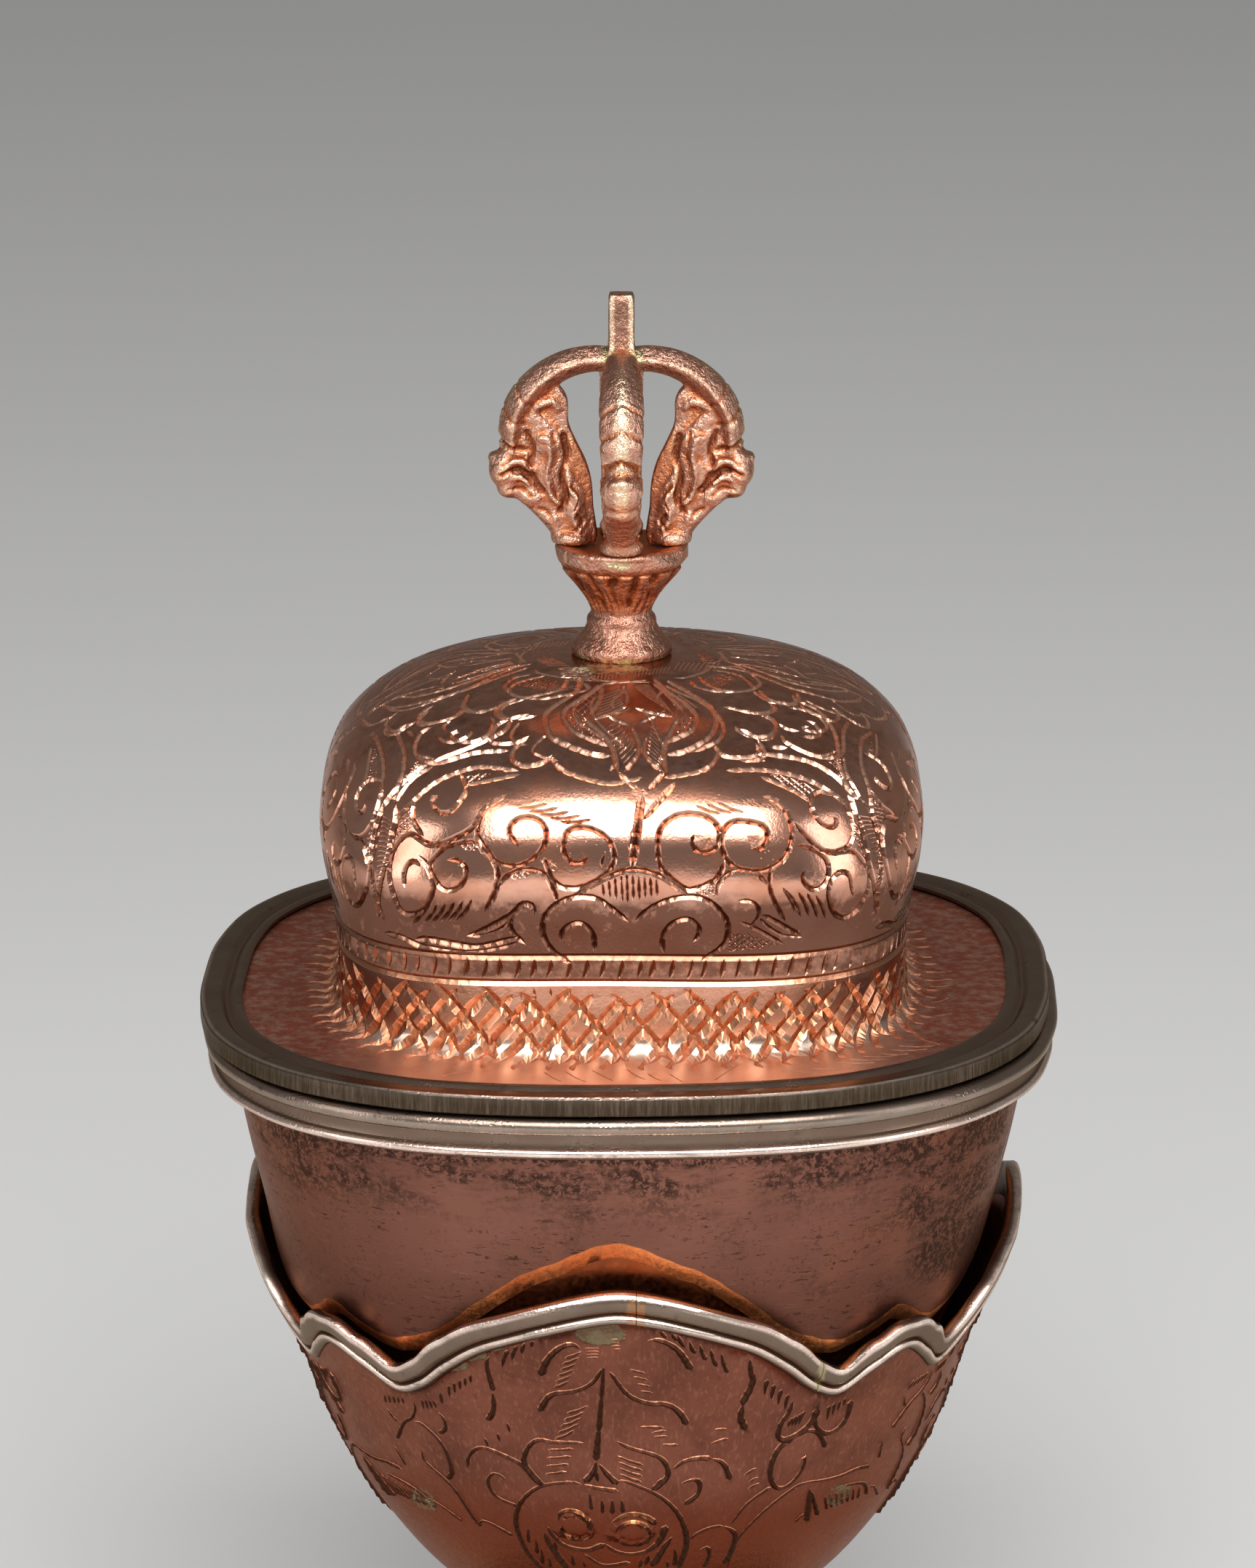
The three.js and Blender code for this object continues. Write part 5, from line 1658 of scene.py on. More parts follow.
# What is engraved on the front quarter of the lid
lidDrawing = """
sheet 430 840 3.5636
0.55: 1012,262 830,310 690,356
0.6: 985,282 900,312 800,360 640,425 480,478 400,485 365,475
0.45: 1110,180 1070,186 1025,210 1015,262
0.3: 470,440 560,395 650,372
0.3: 585,345 640,330 695,330
0.3: 620,268 670,280 720,280
0.3: 720,372 790,345 880,312
0.6: 570,480 515,540 545,558 680,525 730,495 745,470
0.6: 350,572 362,602 410,598 505,540
0.6: 765,418 745,440 745,470 790,490 850,488 905,468
0.6: 868,515 885,545 873,585 840,618 790,640 730,642 690,625 682,603 705,590 725,602
0.6: 1005,425 915,462 895,495 912,520 955,527 1060,505
0.6: 960,535 905,557 870,625 890,650 1000,645 1050,615
0.65: 590,565 540,590 510,630 500,680 522,722 570,745 640,740 800,695 960,685
0.7: 466,584 478,600 494,616
0.7: 575,745 520,775 385,900 312,1040 284,1210 305,1390 352,1520
0.6: 1010,785 850,765 760,776 620,830 500,925 400,1040 372,1180
0.62: 722,800 745,845 745,895 680,978 630,990 597,970 585,930 598,905 612,925
0.5: 745,852 830,838 1025,797
0.6: 500,935 488,990 500,1045 545,1105
0.68: 868,935 838,972 772,1068 630,1138 560,1142 475,1092 400,1160 374,1290 410,1430 450,1482 510,1482 \
552,1450 590,1350 560,1250 512,1195
0.62: 530,1255 500,1227 465,1242 447,1290 450,1358
0.62: 655,1222 700,1222 735,1238 750,1270 742,1318 712,1355 668,1370 622,1350 572,1262 580,1225 \
645,1162 760,1130 815,1142
0.7: 803,1060 808,1105 898,1250 895,1370 842,1475
0.5: 480,1537 520,1500 560,1455
fan 0.42 5 -0.07: 537,1532 607,1440 703,1518 780,1412
fan 0.25 16 0.0: 330,1000 385,1040 300,1380 350,1350
fill 0.075: 475,790 510,748 566,756 520,775
fill 0.075: 745,812 800,797 880,795 860,815 790,838 752,846
fill 0.075: 436,1000 478,975 488,1050 470,1085 415,1118 388,1150 400,1070
fill 0.075: 715,1150 800,1138 815,1160 790,1180 740,1175
sheet 640 840 3.4844
0.6: 330,275 350,295 470,318 545,315
0.62: 485,325 480,350 440,380 300,412 230,400 190,370 195,345 240,318 320,303
0.65: 305,598 258,632 228,672 225,712 255,738 310,742 370,726 415,690
0.6: 410,690 430,735 490,775 650,822 740,822 850,797
0.75: 547,310 548,350 515,395 400,472 380,520 392,575 430,620 590,682 702,697
0.7: 640,350 600,392 492,458 470,505 492,552 545,592 692,650
0.75: 962,330 1120,420 1180,472 1200,530 1178,592 1120,640 1040,676 958,692
0.7: 898,320 960,378 1045,435 1098,490 1102,540 1070,582 945,636
0.5: 640,350 790,338 872,330
0.62: 655,362 640,430 592,502
0.55: 748,350 772,405 770,450
0.55: 605,520 690,495 770,458
0.6: 680,505 740,530 797,550
0.6: 812,465 900,490 1005,508
0.5: 828,540 870,520 912,505
0.72: 565,510 690,632 730,782
0.72: 1020,510 955,650 950,720 965,782
0.6: 795,555 830,640 820,700 752,780
0.55: 868,600 856,680 900,740 950,770
0.6: 728,770 790,830 862,865
0.6: 952,770 912,820 868,865
0.95: 846,872 828,1000 797,1238
0.4: 797,1045 790,1100 782,1150
0.75: 1006,820 910,930 850,1002
0.62: 210,872 105,937 65,1000 55,1075 75,1140 150,1205 240,1222 310,1195 365,1140 387,1070 370,1020 \
325,990 265,990 225,1015 207,1060 255,1130
0.66: 590,1175 560,1205 510,1207 475,1165 470,1100 495,1050 550,1035 620,1050 680,1090 707,1140 \
712,1190 690,1240 630,1290 550,1325 470,1325 415,1285 375,1180
0.5: 672,1160 655,1195 652,1235
0.66: 1095,1068 1085,1100 1100,1140 1140,1160 1190,1145 1215,1100 1215,1050 1190,1010 1140,980 1070,970 \
1010,980 955,1015 925,1070 925,1200 960,1260 1020,1310 1080,1335 1200,1285 1242,1190
0.66: 1370,1140 1410,1145 1440,1110 1445,1060 1410,1020 1300,1005 1250,1030 1225,1080 1230,1140 \
1260,1200 1320,1240 1400,1250 1470,1230 1530,1180 1560,1110 1565,1040 1540,970 1490,910 1420,888
0.66: 490,1390 640,1295 790,1240 930,1270 1070,1365
0.6: 150,1325 190,1275 250,1245 320,1240 380,1265 430,1360 436,1402
fan 0.25 9 -0.02: 245,362 310,318 390,378 440,330
fan 0.25 9 0.02: 1180,318 1240,362 1290,275 1345,325
fan 0.42 6 -0.06: 195,928 340,903 450,1008 605,998
fan 0.42 3 -0.06: 1100,930 1225,972 1205,915 1338,966
fan 0.4 3 -0.06: 1318,902 1385,932 1365,898 1450,945
fan 0.36 4 0.0: 655,1300 662,1368 745,1262 752,1398
fan 0.4 6 0.0: 772,1255 776,1400 912,1278 918,1366
fan 0.28 8 -0.03: 650,410 745,365 606,515 765,450
fan 0.28 8 0.0: 800,352 880,420 868,345 1000,500
fan 0.28 9 -0.03: 672,555 735,528 745,740 822,655
fan 0.28 9 0.03: 880,545 925,590 862,690 948,768
fan 0.26 9 0.0: 610,335 625,300 760,325 762,290
fan 0.26 12 0.05: 775,322 780,285 960,300 985,262
fan 0.3 9 0.06: 1000,285 1030,240 1185,290 1225,240
fill 0.085: 600,385 560,420 505,465 492,505 515,550 560,590 610,612 640,590 570,520 625,440 645,370
fill 0.085: 905,330 960,385 1040,440 1085,490 1090,535 1060,572 985,605 1000,560 1020,505 985,440 \
900,350
fill 0.075: 205,1270 250,1245 310,1250 300,1275 215,1292
fill 0.085: 350,1195 400,1180 445,1215 430,1252 385,1235
fill 0.085: 1080,1345 1140,1325 1205,1290 1250,1300 1195,1370 1130,1368
sheet 860 840 3.4844
0.6: 345,310 390,350 450,375 520,386 590,380 635,358 638,332 560,272 462,265
0.6: 635,375 670,410 730,435 800,440 830,420 815,388
0.68: 822,430 930,482 1000,580 1020,690
0.5: 860,428 960,475 1020,490 1045,480
0.6: 465,457 610,490 680,490 715,472 710,450
0.6: 640,497 692,517 720,550 700,588 640,605 580,595 540,572 520,546
0.55: 735,540 770,565 832,576
0.6: 840,600 890,605 930,590 920,558 895,535 865,525
0.6: 425,636 445,672 490,700 610,698 638,670 620,632
0.6: 440,668 435,702 410,740 350,770 182,800
0.66: 620,690 700,690 870,720 1000,790 1100,890 1130,905
0.72: 1130,905 1172,960 1202,1030 1226,1200 1200,1400 1180,1460
0.4: 590,712 670,719
0.6: 480,765 650,762 830,795 980,868 1105,980 1160,1150 1165,1300 1140,1380 1100,1440 1050,1470 \
1000,1450 977,1390 975,1320 1000,1270 1040,1250 1075,1275 1090,1368
0.5: 640,790 800,860 892,918
0.62: 1005,882 940,868 895,895 890,940 915,990 960,1030 1000,1032 1012,1000 992,985
0.62: 1005,882 1050,930 1080,990 1090,1060 1070,1120 1020,1150 960,1152 900,1112 805,1005
0.62: 820,1125 872,1130 930,1160 965,1200 972,1260 950,1312 905,1335 865,1312 848,1270 865,1240
0.62: 970,1165 1080,1150 1130,1190 1155,1240
0.5: 705,1215 690,1282 700,1360 765,1490
0.6: 435,1370 440,1320 470,1275 520,1245 580,1240 640,1270 690,1315
0.5: 1045,700 1060,780 1128,905
0.45: 900,700 960,690 1010,672
0.5: 460,235 560,260 660,295 860,345 960,355 1060,375 1150,420 1210,470
0.45: 455,180 545,184 660,206
0.45: 490,215 600,235 700,262 780,275
0.4: 640,272 760,300 1000,345 1090,372
0.4: 985,425 1090,495 1150,490
0.4: 780,245 880,260 1060,320 1200,410
fan 0.42 3 0.05: 750,1322 820,1455 775,1345 840,1466
fan 0.42 3 0.05: 826,1345 880,1466 910,1360 960,1476
fill 0.075: 660,775 740,785 830,812 915,858 885,895 820,862 740,822
fill 0.075: 1092,1010 1125,1060 1145,1150 1140,1180 1108,1130 1090,1080
fill 0.075: 960,715 1030,700 1045,760 1075,820 1030,800 1000,765
sheet 430 1230 3.4844
0.75: 735,199 800,180 945,102 1000,50 1040,48 1062,78 1058,102
0.4: 760,203 830,192 900,165 945,122
0.6: 985,62 958,100 945,150 965,190 1020,240
0.8: 480,217 560,216 740,247 820,246 985,206
0.5: 490,226 560,252 740,276 920,250 985,225
0.7: 340,182 420,202 500,240 560,258
0.66: 1240,335 1155,275 1110,210 1100,150 1120,90 1170,45 1240,15 1310,10 1380,30 1512,130
0.6: 1190,232 1195,180 1230,145 1280,135 1320,160 1345,202 1350,282
sheet 860 1230 3.4844
0.66: 45,130 100,80 170,40 250,15 340,12 410,40 460,90 490,150 470,240 360,322
0.6: 185,286 175,220 200,160 250,125 310,120 350,160 345,202 320,230
0.5: 545,130 640,172 760,240
0.6: 650,95 720,130 845,202
0.4: 640,112 690,160 760,196 845,204
0.5: 530,35 580,30 620,45 640,80 630,120 590,160
fill 0.085: 490,182 560,180 640,200 745,240 640,264 480,278
"""

# Marks on the plate in front and behind, and at the left of the front only
plateDrawing = """
sheet 860 1230 3.4844
0.3: 790,845 860,856 940,861
0.32: 890,835 990,838 1100,829
0.32: 1000,804 1090,810 1185,806
0.32: 1070,788 1150,794 1240,789
0.32: 1130,774 1210,779 1300,770
0.32: 1215,760 1280,768 1350,764
0.32: 1262,744 1350,748 1440,740
0.32: 1300,724 1390,730 1482,724
0.36: 1350,600 1362,640 1410,690 1505,722
0.3: 1470,377 1520,370 1565,364
0.3: 1450,412 1510,410 1565,404
0.3: 1450,442 1510,440 1565,432
0.34: 1450,518 1500,512 1545,492
0.3: 1470,582 1520,576 1565,566
0.22: 0,836 40,868 90,890
0.22: 95,858 130,880 165,896
0.22: 200,858 230,880 262,900
0.2: 548,812 480,850 410,892
"""

leftPlateDrawing = """
sheet 430 1230 3.4844
0.34: 600,872 690,852 775,840
0.34: 60,638 130,646 210,660
0.3: 80,525 110,505 130,480
0.22: 1100,850 1140,880 1180,900
0.22: 1200,845 1250,880 1300,900
0.22: 1330,840 1380,870 1430,896
"""

footBand = {
    "lowerLine": 126.3,
    "upperLine": 129.5,
    "lineWidth": 0.95,
    "tickStep": 2.0,
    "tickSlant": 0.5,
    "lineStepDown": 4.8,
    "lineStepUp": 3.3,
    "lineRun": 9.2,
    "latticeTop": 125.9,
    "latticeWidth": 1.6,
}


def footBands(carving):
    chance = random.Random(11)
    angle = np.linspace(0, 2 * pi, 721)
    ring = lidSurface(np.full(721, lidAlong(footBand["lowerLine"])), angle)
    length = np.concatenate([[0], np.cumsum(np.linalg.norm(np.diff(ring, axis=0), axis=1))])
    total = length[-1]

    def at(along, distance):
        # Map point at a length down the dome and a distance round it
        turns = math.floor(distance / total)
        return polar(along, float(np.interp(distance - turns * total, length, angle)) + turns * 2 * pi)

    # Two lines round the dome, cut in four strokes each
    for height in (footBand["lowerLine"], footBand["upperLine"]):
        for quarter in range(4):
            places = np.linspace(total * (quarter / 4 - 0.004), total * ((quarter + 1) / 4 + 0.004), 40)
            points = [at(lidAlong(height + 0.1 * math.sin(place * 0.15)), place) for place in places]
            carving.add(points, footBand["lineWidth"], 0.36, 0.25, (1, 1))

    # Slanted ticks between the lines and a few short ones below
    low, high = footBand["lowerLine"] + 0.3, footBand["upperLine"] - 0.25
    count = int(total / footBand["tickStep"])
    for i in range(count):
        place = (i + chance.uniform(-0.15, 0.15)) * total / count
        drop = chance.uniform(0, 0.35)
        lean = footBand["tickSlant"] * chance.uniform(0.6, 1.3)
        rows = ((low + drop, lean), ((low + high) / 2, lean * 0.25), (high, 0))
        points = [at(lidAlong(height), place - back) for height, back in rows]
        carving.add(points, chance.uniform(0.45, 0.85), 0.42, 0.0)
        if i % 17 in (0, 1, 2, 9):
            points = [at(lidAlong(low - down), place - back) for down, back in ((0.9, 0.2), (2.1, 0.1))]
            carving.add(points, 0.36, 0.45, 0.0)

    # Lattice of two families of lines, the second with a turned hook on the plate
    run = footBand["lineRun"]
    top = lidAlong(footBand["latticeTop"])
    bottom = plateStart
    for family, spacing in ((1, footBand["lineStepDown"]), (-1, footBand["lineStepUp"])):
        count = int(total / spacing)
        for i in range(count):
            place = (i + chance.uniform(-0.16, 0.16)) * total / count
            begin = chance.uniform(0, 0.1 if family > 0 else 0.16)
            end = chance.uniform(0.88, 0.97)
            shares = np.linspace(begin, end if family > 0 else 1.0, 8)
            points = [at(top + (bottom - top) * share, place + family * run * share) for share in shares]
            carving.add(points, footBand["latticeWidth"] * chance.uniform(0.85, 1.12), 0.3, 0.4)
            if family < 0:
                start = place + family * run
                hook = chance.uniform(1.0, 1.7)
                rows = ((-0.5, 0.4), (0.5, -0.05), (0.5 + hook, 0.15))
                points = [at(bottom + down, start + back) for down, back in rows]
                carving.add(points, 0.8, 0.32, 0.0)


def makeLidSheet():
    carving = Carving(lidFlat, 5)
    placeDrawing(carving, lidDrawing, insideLid, lidMap, quarterTurns, lid["strokeWidth"])
    placeDrawing(carving, plateDrawing, insideLid, lidMap, [0, pi])
    placeDrawing(carving, leftPlateDrawing, insideLid, lidMap, [0])
    footBands(carving)
    alongs = np.concatenate([np.linspace(0.5, plateStart, 46), plateStart + np.linspace(0.8, 11.3, 8)])
    radii = [float(lidReach[0](min(along, plateStart))) + max(0, along - plateStart) for along in alongs]
    grid = ringGrid(alongs, radii, 1.35)
    angle = around(240)
    sheet, shift, plate = lid["sheet"], form["domeShift"], form["plateTop"]
    lower = lidSurface(plateStart + lid["plateRun"], angle)
    lower[:, 2] -= sheet
    inner = [lower]
    for along in np.linspace(plateStart + 6, plateStart, 3):
        ring = lidSurface(along, angle)
        ring[:, 2] = plate - sheet
        inner.append(ring)
    for along in np.linspace(plateStart - 2.0, 1.5, 34):
        ring = lidSurface(along, angle)
        away = ring - [shift, 0, plate + 10]
        away[:, 2] *= 0.8
        inner.append(ring - away / np.linalg.norm(away, axis=1, keepdims=True) * sheet)
    inner.append([shift, 0, form["domeTop"] - sheet])
    boundary = polar(plateStart + lid["plateRun"], angle)
    carvedPiece("lidSheet", carving, grid, boundary, inner)


makeLidSheet()
print("lid made")

# Finial
finial = {
    "flange": 6.15,
    "stemHeight": 13.4,
    "neck": 3.75,
    "lotus": 8.05,
    "dish": 0.5,
    "petals": 15,
    "petalDepth": 0.34,
    "coreHalf": 1.7,
    "coreHeight": 30.9,
    "reach": 16.2,
    "clay": 0.24,
}


class Clay:
    # Small cast forms built up from rods and lumps in an upright plane, then joined into one skin
    def __init__(self):
        self.points, self.faces = [], []

    def rings(self, loops):
        start = sum(map(len, self.points))
        steps = len(loops[0])
        last = start + (len(loops) - 1) * steps
        self.points += [np.asarray(loop) for loop in loops]
        self.faces += [tuple(start + k for k in face) for face in ringFaces(len(loops), steps, False)]
        self.faces.append(tuple(start + k for k in range(steps))[::-1])
        self.faces.append(tuple(last + k for k in range(steps)))

    def plate(self, outline, half, round):
        # Flat piece with the given outline and rounded edges
        fine = throughPoints(list(outline) + [outline[0]], 3)[:-1]
        ahead = np.roll(fine, -1, 0) - np.roll(fine, 1, 0)
        ahead /= np.linalg.norm(ahead, axis=1, keepdims=True)
        inward = np.stack([-ahead[:, 1], ahead[:, 0]], 1)
        area = np.sum(fine[:, 0] * np.roll(fine[:, 1], -1) - fine[:, 1] * np.roll(fine[:, 0], -1))
        inward *= np.sign(area)
        loops = []
        levels = [(-half, 1), (round * 0.3 - half, 0.35), (round - half, 0)]
        for y, inset in levels + [(-y, inset) for y, inset in levels[::-1]]:
            flat = fine + inward * inset * round
            loops.append(np.stack([flat[:, 0], np.full(len(flat), y), flat[:, 1]], 1))
        self.rings(loops)

    def rod(self, path, sizes, wide, side=0.0, square=2.0):
        # Path of reach and height, half thicknesses, half width as a share of them, sideways offset
        fine = throughPoints(path, 6)
        share = np.linspace(0, 1, len(fine))
        wide = np.atleast_1d(wide)
        size = np.interp(share, np.linspace(0, 1, len(sizes)), sizes)
        broad = np.interp(share, np.linspace(0, 1, len(wide)), wide)
        away = np.gradient(fine, axis=0)
        away /= np.linalg.norm(away, axis=1, keepdims=True)
        turn = around(24)
        across = np.sign(np.cos(turn)) * np.abs(np.cos(turn)) ** (2 / square)
        over = np.sign(np.sin(turn)) * np.abs(np.sin(turn)) ** (2 / square)

        def loop(i, step, scale):
            center = fine[i] + away[i] * step * size[i]
            normal = np.array([-away[i][1], away[i][0]])
            flat = center + normal * (across * size[i] * scale)[:, None]
            return np.stack([flat[:, 0], over * size[i] * scale * broad[i] + side, flat[:, 1]], 1)

        loops = [loop(0, -0.9, 0.35), loop(0, -0.6, 0.75)]
        loops += [loop(i, 0, 1) for i in range(len(fine))]
        self.rings(loops + [loop(-1, 0.6, 0.75), loop(-1, 0.9, 0.35)])

    def lump(self, middle, sizes, turn=0.0, side=0.0):
        # Rounded lump: half reach, half width and half height
        half, wide, high = sizes
        angle = around(20)
        c, s = math.cos(turn), math.sin(turn)
        loops = []
        for t in np.linspace(0.12, pi - 0.12, 11):
            x = half * math.sin(t) * np.cos(angle)
            z = high * math.sin(t) * np.sin(angle)
            y = np.full(20, wide * math.cos(t) + side)
            loops.append(np.stack([middle[0] + x * c - z * s, y, middle[1] + x * s + z * c], 1))
        self.rings(loops)

    def skin(self, voxel, smooth):
        # Joins everything into one closed skin and returns its points, normals, faces and edges
        mesh = bpy.data.meshes.new("clay")
        mesh.from_pydata((np.concatenate(self.points) * mm).tolist(), [], self.faces)
        item = placeObject("clay", mesh)
        join = item.modifiers.new("join", "REMESH")
        join.mode = "VOXEL"
        join.voxel_size = voxel * mm
        soften = item.modifiers.new("soften", "SMOOTH")
        soften.iterations = smooth
        soften.factor = 0.5
        view = bpy.context.evaluated_depsgraph_get()
        made = bpy.data.meshes.new_from_object(item.evaluated_get(view))
        bpy.data.objects.remove(item)
        faces = [tuple(face.vertices) for face in made.polygons]
        edges = readAll(made.edges, "vertices", 2, np.int32)
        normals = readAll(made.vertex_normals, "vector", 3)
        return readAll(made.vertices, "co", 3) / mm, normals, faces, edges


def segmentGap(points, stroke):
    # Distance of flat points from a polyline
    best = np.full(len(points), 1e9)
    for a, b in zip(stroke[:-1], stroke[1:]):
        along = b - a
        share = np.clip((points - a) @ along / max(along @ along, 1e-9), 0, 1)
        best = np.minimum(best, np.linalg.norm(points - (a + along * share[:, None]), axis=1))
    return best


# Grooves on both sides of a prong: width, depth and points of reach and height
prongGrooves = """
0.5 0.4: 6.9,13.0 6.5,10.6 7.1,8.2 6.7,5.6 7.4,3.9
0.5 0.4: 11.3,13.6 10.7,11.4 10.9,9.4 10.3,7.4 9.6,6.4
0.4 0.5: 14.5,8.3 13.2,8.9 12.1,8.9 10.9,7.9
0.28 0.25: 14.3,9.6 13.0,10.6 11.6,10.6
0.32 0.3: 13.6,6.5 12.0,6.7 10.9,5.8
0.3 0.3: 5.9,7.0 4.9,5.6 5.6,4.0
0.28 0.25: 5.2,3.4 4.6,2.6 5.4,1.6
0.3 0.25: 9.9,4.2 8.9,3.8 8.3,2.6
0.3 0.25: 8.2,13.4 7.9,12.2
"""

# Rods and lumps of a prong: where, how thick, how wide, and for lumps how they are turned
prong = {
    "arm": [
        (1.3, 22.1), (3.6, 22.2), (6.4, 21.6), (9.0, 20.2), (11.1, 18.2), (12.5, 16.0), (13.1, 13.6),
        (13.1, 11.6),
    ],
    "armSizes": [1.6, 1.65, 1.75, 1.85, 1.95, 1.85, 1.75, 1.6],
    "armWidths": [1.3, 1.3, 1.38, 1.42, 1.45, 1.5, 1.5],
    # Thin web with the outline of the whole head, and a thicker plate for the head and body
    "web": [
        (10.4, 18.4), (12.6, 16.2), (13.4, 13.6), (13.9, 12.0), (14.6, 10.8), (15.0, 9.6), (14.9, 7.6),
        (14.5, 6.0), (13.7, 5.2), (12.4, 5.0), (10.7, 3.4), (9.4, 2.0), (8.5, 0.8), (8.0, -0.5), (3.2, -0.5),
        (3.4, 4.0), (3.6, 7.1), (4.3, 9.7), (5.5, 12.2), (6.4, 14.5), (6.5, 17.4), (8.0, 19.2),
    ],
    "body": [
        (11.6, 17.0), (13.4, 15.0), (13.9, 12.0), (14.7, 9.8), (14.3, 6.4), (12.6, 5.2), (10.7, 3.6),
        (8.3, 1.2), (7.6, -0.5), (4.0, -0.5), (4.2, 3.4), (5.0, 6.8), (6.4, 9.4), (7.2, 12.6), (8.8, 15.0),
    ],
    # Shoulder of the arm, snout with a knob and a pointed tip, and the foot
    "middleLumps": [
        ((13.1, 14.2), (1.55, 2.6, 2.0), 0.1),
        ((14.1, 8.9), (1.9, 2.6, 2.5), 0.15),
        ((15.0, 9.9), (1.15, 1.7, 0.9), 0.5),
        ((13.6, 6.6), (1.5, 2.2, 1.5), 0.3),
        ((6.0, 0.2), (2.6, 2.7, 1.5), 0.1),
    ],
    # On each side: brow, cheek, jaw, chin and the lobe beside the centre bar
    "sideLumps": [
        ((8.9, 12.0), (1.8, 0.9, 1.7), 0.2, 1.35),
        ((8.7, 8.4), (1.7, 0.8, 3.0), 0.0, 1.3),
        ((11.0, 5.6), (1.7, 0.8, 1.3), 0.5, 1.4),
        ((8.3, 2.9), (1.0, 0.7, 0.9), 0.4, 1.4),
        ((5.7, 4.4), (1.3, 0.8, 3.2), -0.05, 1.35),
    ],
    # On each side: ridge between brow and cheek, curl under the arm, two lips and the edge of the lobe
    "sideRods": [
        (
            [(9.9, 12.9), (8.9, 12.6), (8.5, 10.6), (8.9, 8.4), (8.4, 5.8), (7.2, 4.6)],
            [0.35, 0.42, 0.38, 0.36, 0.34, 0.3], 1.2, 2.0,
        ),
        ([(11.0, 15.8), (9.8, 16.8), (8.4, 17.2), (7.6, 16.4)], [0.5, 0.62, 0.6, 0.42], 1.3, 1.0),
        ([(14.6, 9.0), (13.2, 10.0), (11.8, 9.9), (10.7, 8.8)], [0.4, 0.42, 0.4, 0.3], 1.2, 2.1),
        ([(13.4, 7.7), (12.2, 8.0), (11.1, 7.2)], [0.3, 0.32, 0.26], 1.2, 1.95),
        ([(6.3, 6.6), (5.2, 5.2), (5.8, 3.2), (5.0, 1.6)], [0.3, 0.36, 0.36, 0.3], 1.2, 2.0),
    ],
    # Rings round the arm: a point, width, depth and slant
    "rings": [
        ((13.9, 12.6), 0.55, 0.4, 0.15),
        ((13.6, 16.2), 0.4, 0.16, 0.4),
        ((12.0, 18.8), 0.4, 0.14, 0.9),
    ],
}


def prongSkin():
    clay = Clay()
    clay.rod(prong["arm"], prong["armSizes"], prong["armWidths"], 0, 1.35)
    clay.plate(prong["web"], 1.1, 0.4)
    clay.plate(prong["body"], 1.75, 0.6)
    for middle, sizes, turn in prong["middleLumps"]:
        clay.lump(middle, sizes, turn)
    for side in (-1, 1):
        for middle, sizes, turn, out in prong["sideLumps"]:
            clay.lump(middle, sizes, turn, side * out)
        for path, sizes, wide, out in prong["sideRods"]:
            clay.rod(path, sizes, wide, side * out)
    points, normals, faces, edges = clay.skin(finial["clay"], 3)
    flat = points[:, [0, 2]]
    sunk = np.zeros(len(points))
    for (width, depth), places in drawingRows(prongGrooves):
        share = segmentGap(flat, throughPoints(places, 5)) / float(width)
        sunk = np.maximum(sunk, float(depth) * np.clip(1 - share**2, 0, 1))
    sunk *= np.clip(np.abs(normals[:, 1]) * 1.4 - 0.15, 0, 1)
    for middle, width, depth, tilt in prong["rings"]:
        gap = np.abs((flat - middle) @ np.array([-tilt, 1.0]) + 0.45 * np.abs(points[:, 1]))
        share = gap / math.hypot(tilt, 1) / width
        sunk = np.maximum(sunk, depth * np.clip(1 - share**2, 0, 1) * (flat[:, 0] > 10.6))
    points = points - normals * sunk[:, None]
    x, y, z = points[:, 0], np.abs(points[:, 1]), points[:, 2]

    def aroundSum(values):
        # Sum over the neighbours of each point
        total = np.zeros_like(values)
        for a, b in ((0, 1), (1, 0)):
            np.add.at(total, edges[:, a], values[edges[:, b]])
        return total

    # Hollows are found where the neighbours lie in front of a point
    count = aroundSum(np.ones(len(points)))
    bend = np.einsum("ij,ij->i", aroundSum(points) / count[:, None] - points, normals)
    for _ in range(3):
        bend = (bend + aroundSum(bend) / count) / 2
    # The back of a prong is worn along its middle, with a painted highlight there, and the thin web beside
    # the gap takes some of the hollows' painted orange reflection
    crestWearAndHighlight = np.clip(1.5 - y / 0.8, 0, 1) * np.clip(normals[:, 0] * 1.6 - 0.3, 0, 1) * (z > 6)
    web = np.clip(6.9 - x, 0, 1) * np.clip(1.9 - y, 0, 1) * np.clip(z / 2 - 1.5, 0, 1) * (z < 16.5)
    # The hollow mark drives painted shade and painted reflection in the finish
    hollow = np.maximum(np.clip(bend * 34, 0, 1), 0.28 * web)
    worn = np.maximum(np.clip(-bend * 22 - 0.1, 0, 1), 0.65 * crestWearAndHighlight)
    return points, faces, hollow, worn


def makeProngs():
    points, faces, hollow, worn = prongSkin()
    x, y, z = points.T
    joint = np.clip(1 - np.abs(x - 1.9) / 1.3, 0, 1) * (z > 18)
    seat = np.clip(1 - z / 1.2, 0, 1) * 0.5
    values = {"hollow": hollow, "worn": worn, "braze": np.maximum(joint, seat)}
    x = x * min(1, finial["reach"] / x.max())
    z = np.maximum(z, -0.3) + form["lotusTop"] + form["clearance"]
    for name, turn in (("Right", 0), ("Back", pi / 2), ("Left", pi), ("Front", -pi / 2)):
        c, s = math.cos(turn), math.sin(turn)
        placed = np.stack([x * c - y * s + form["domeShift"], x * s + y * c, z], 1)
        linkMesh("prong" + name, placed, faces, None, values)


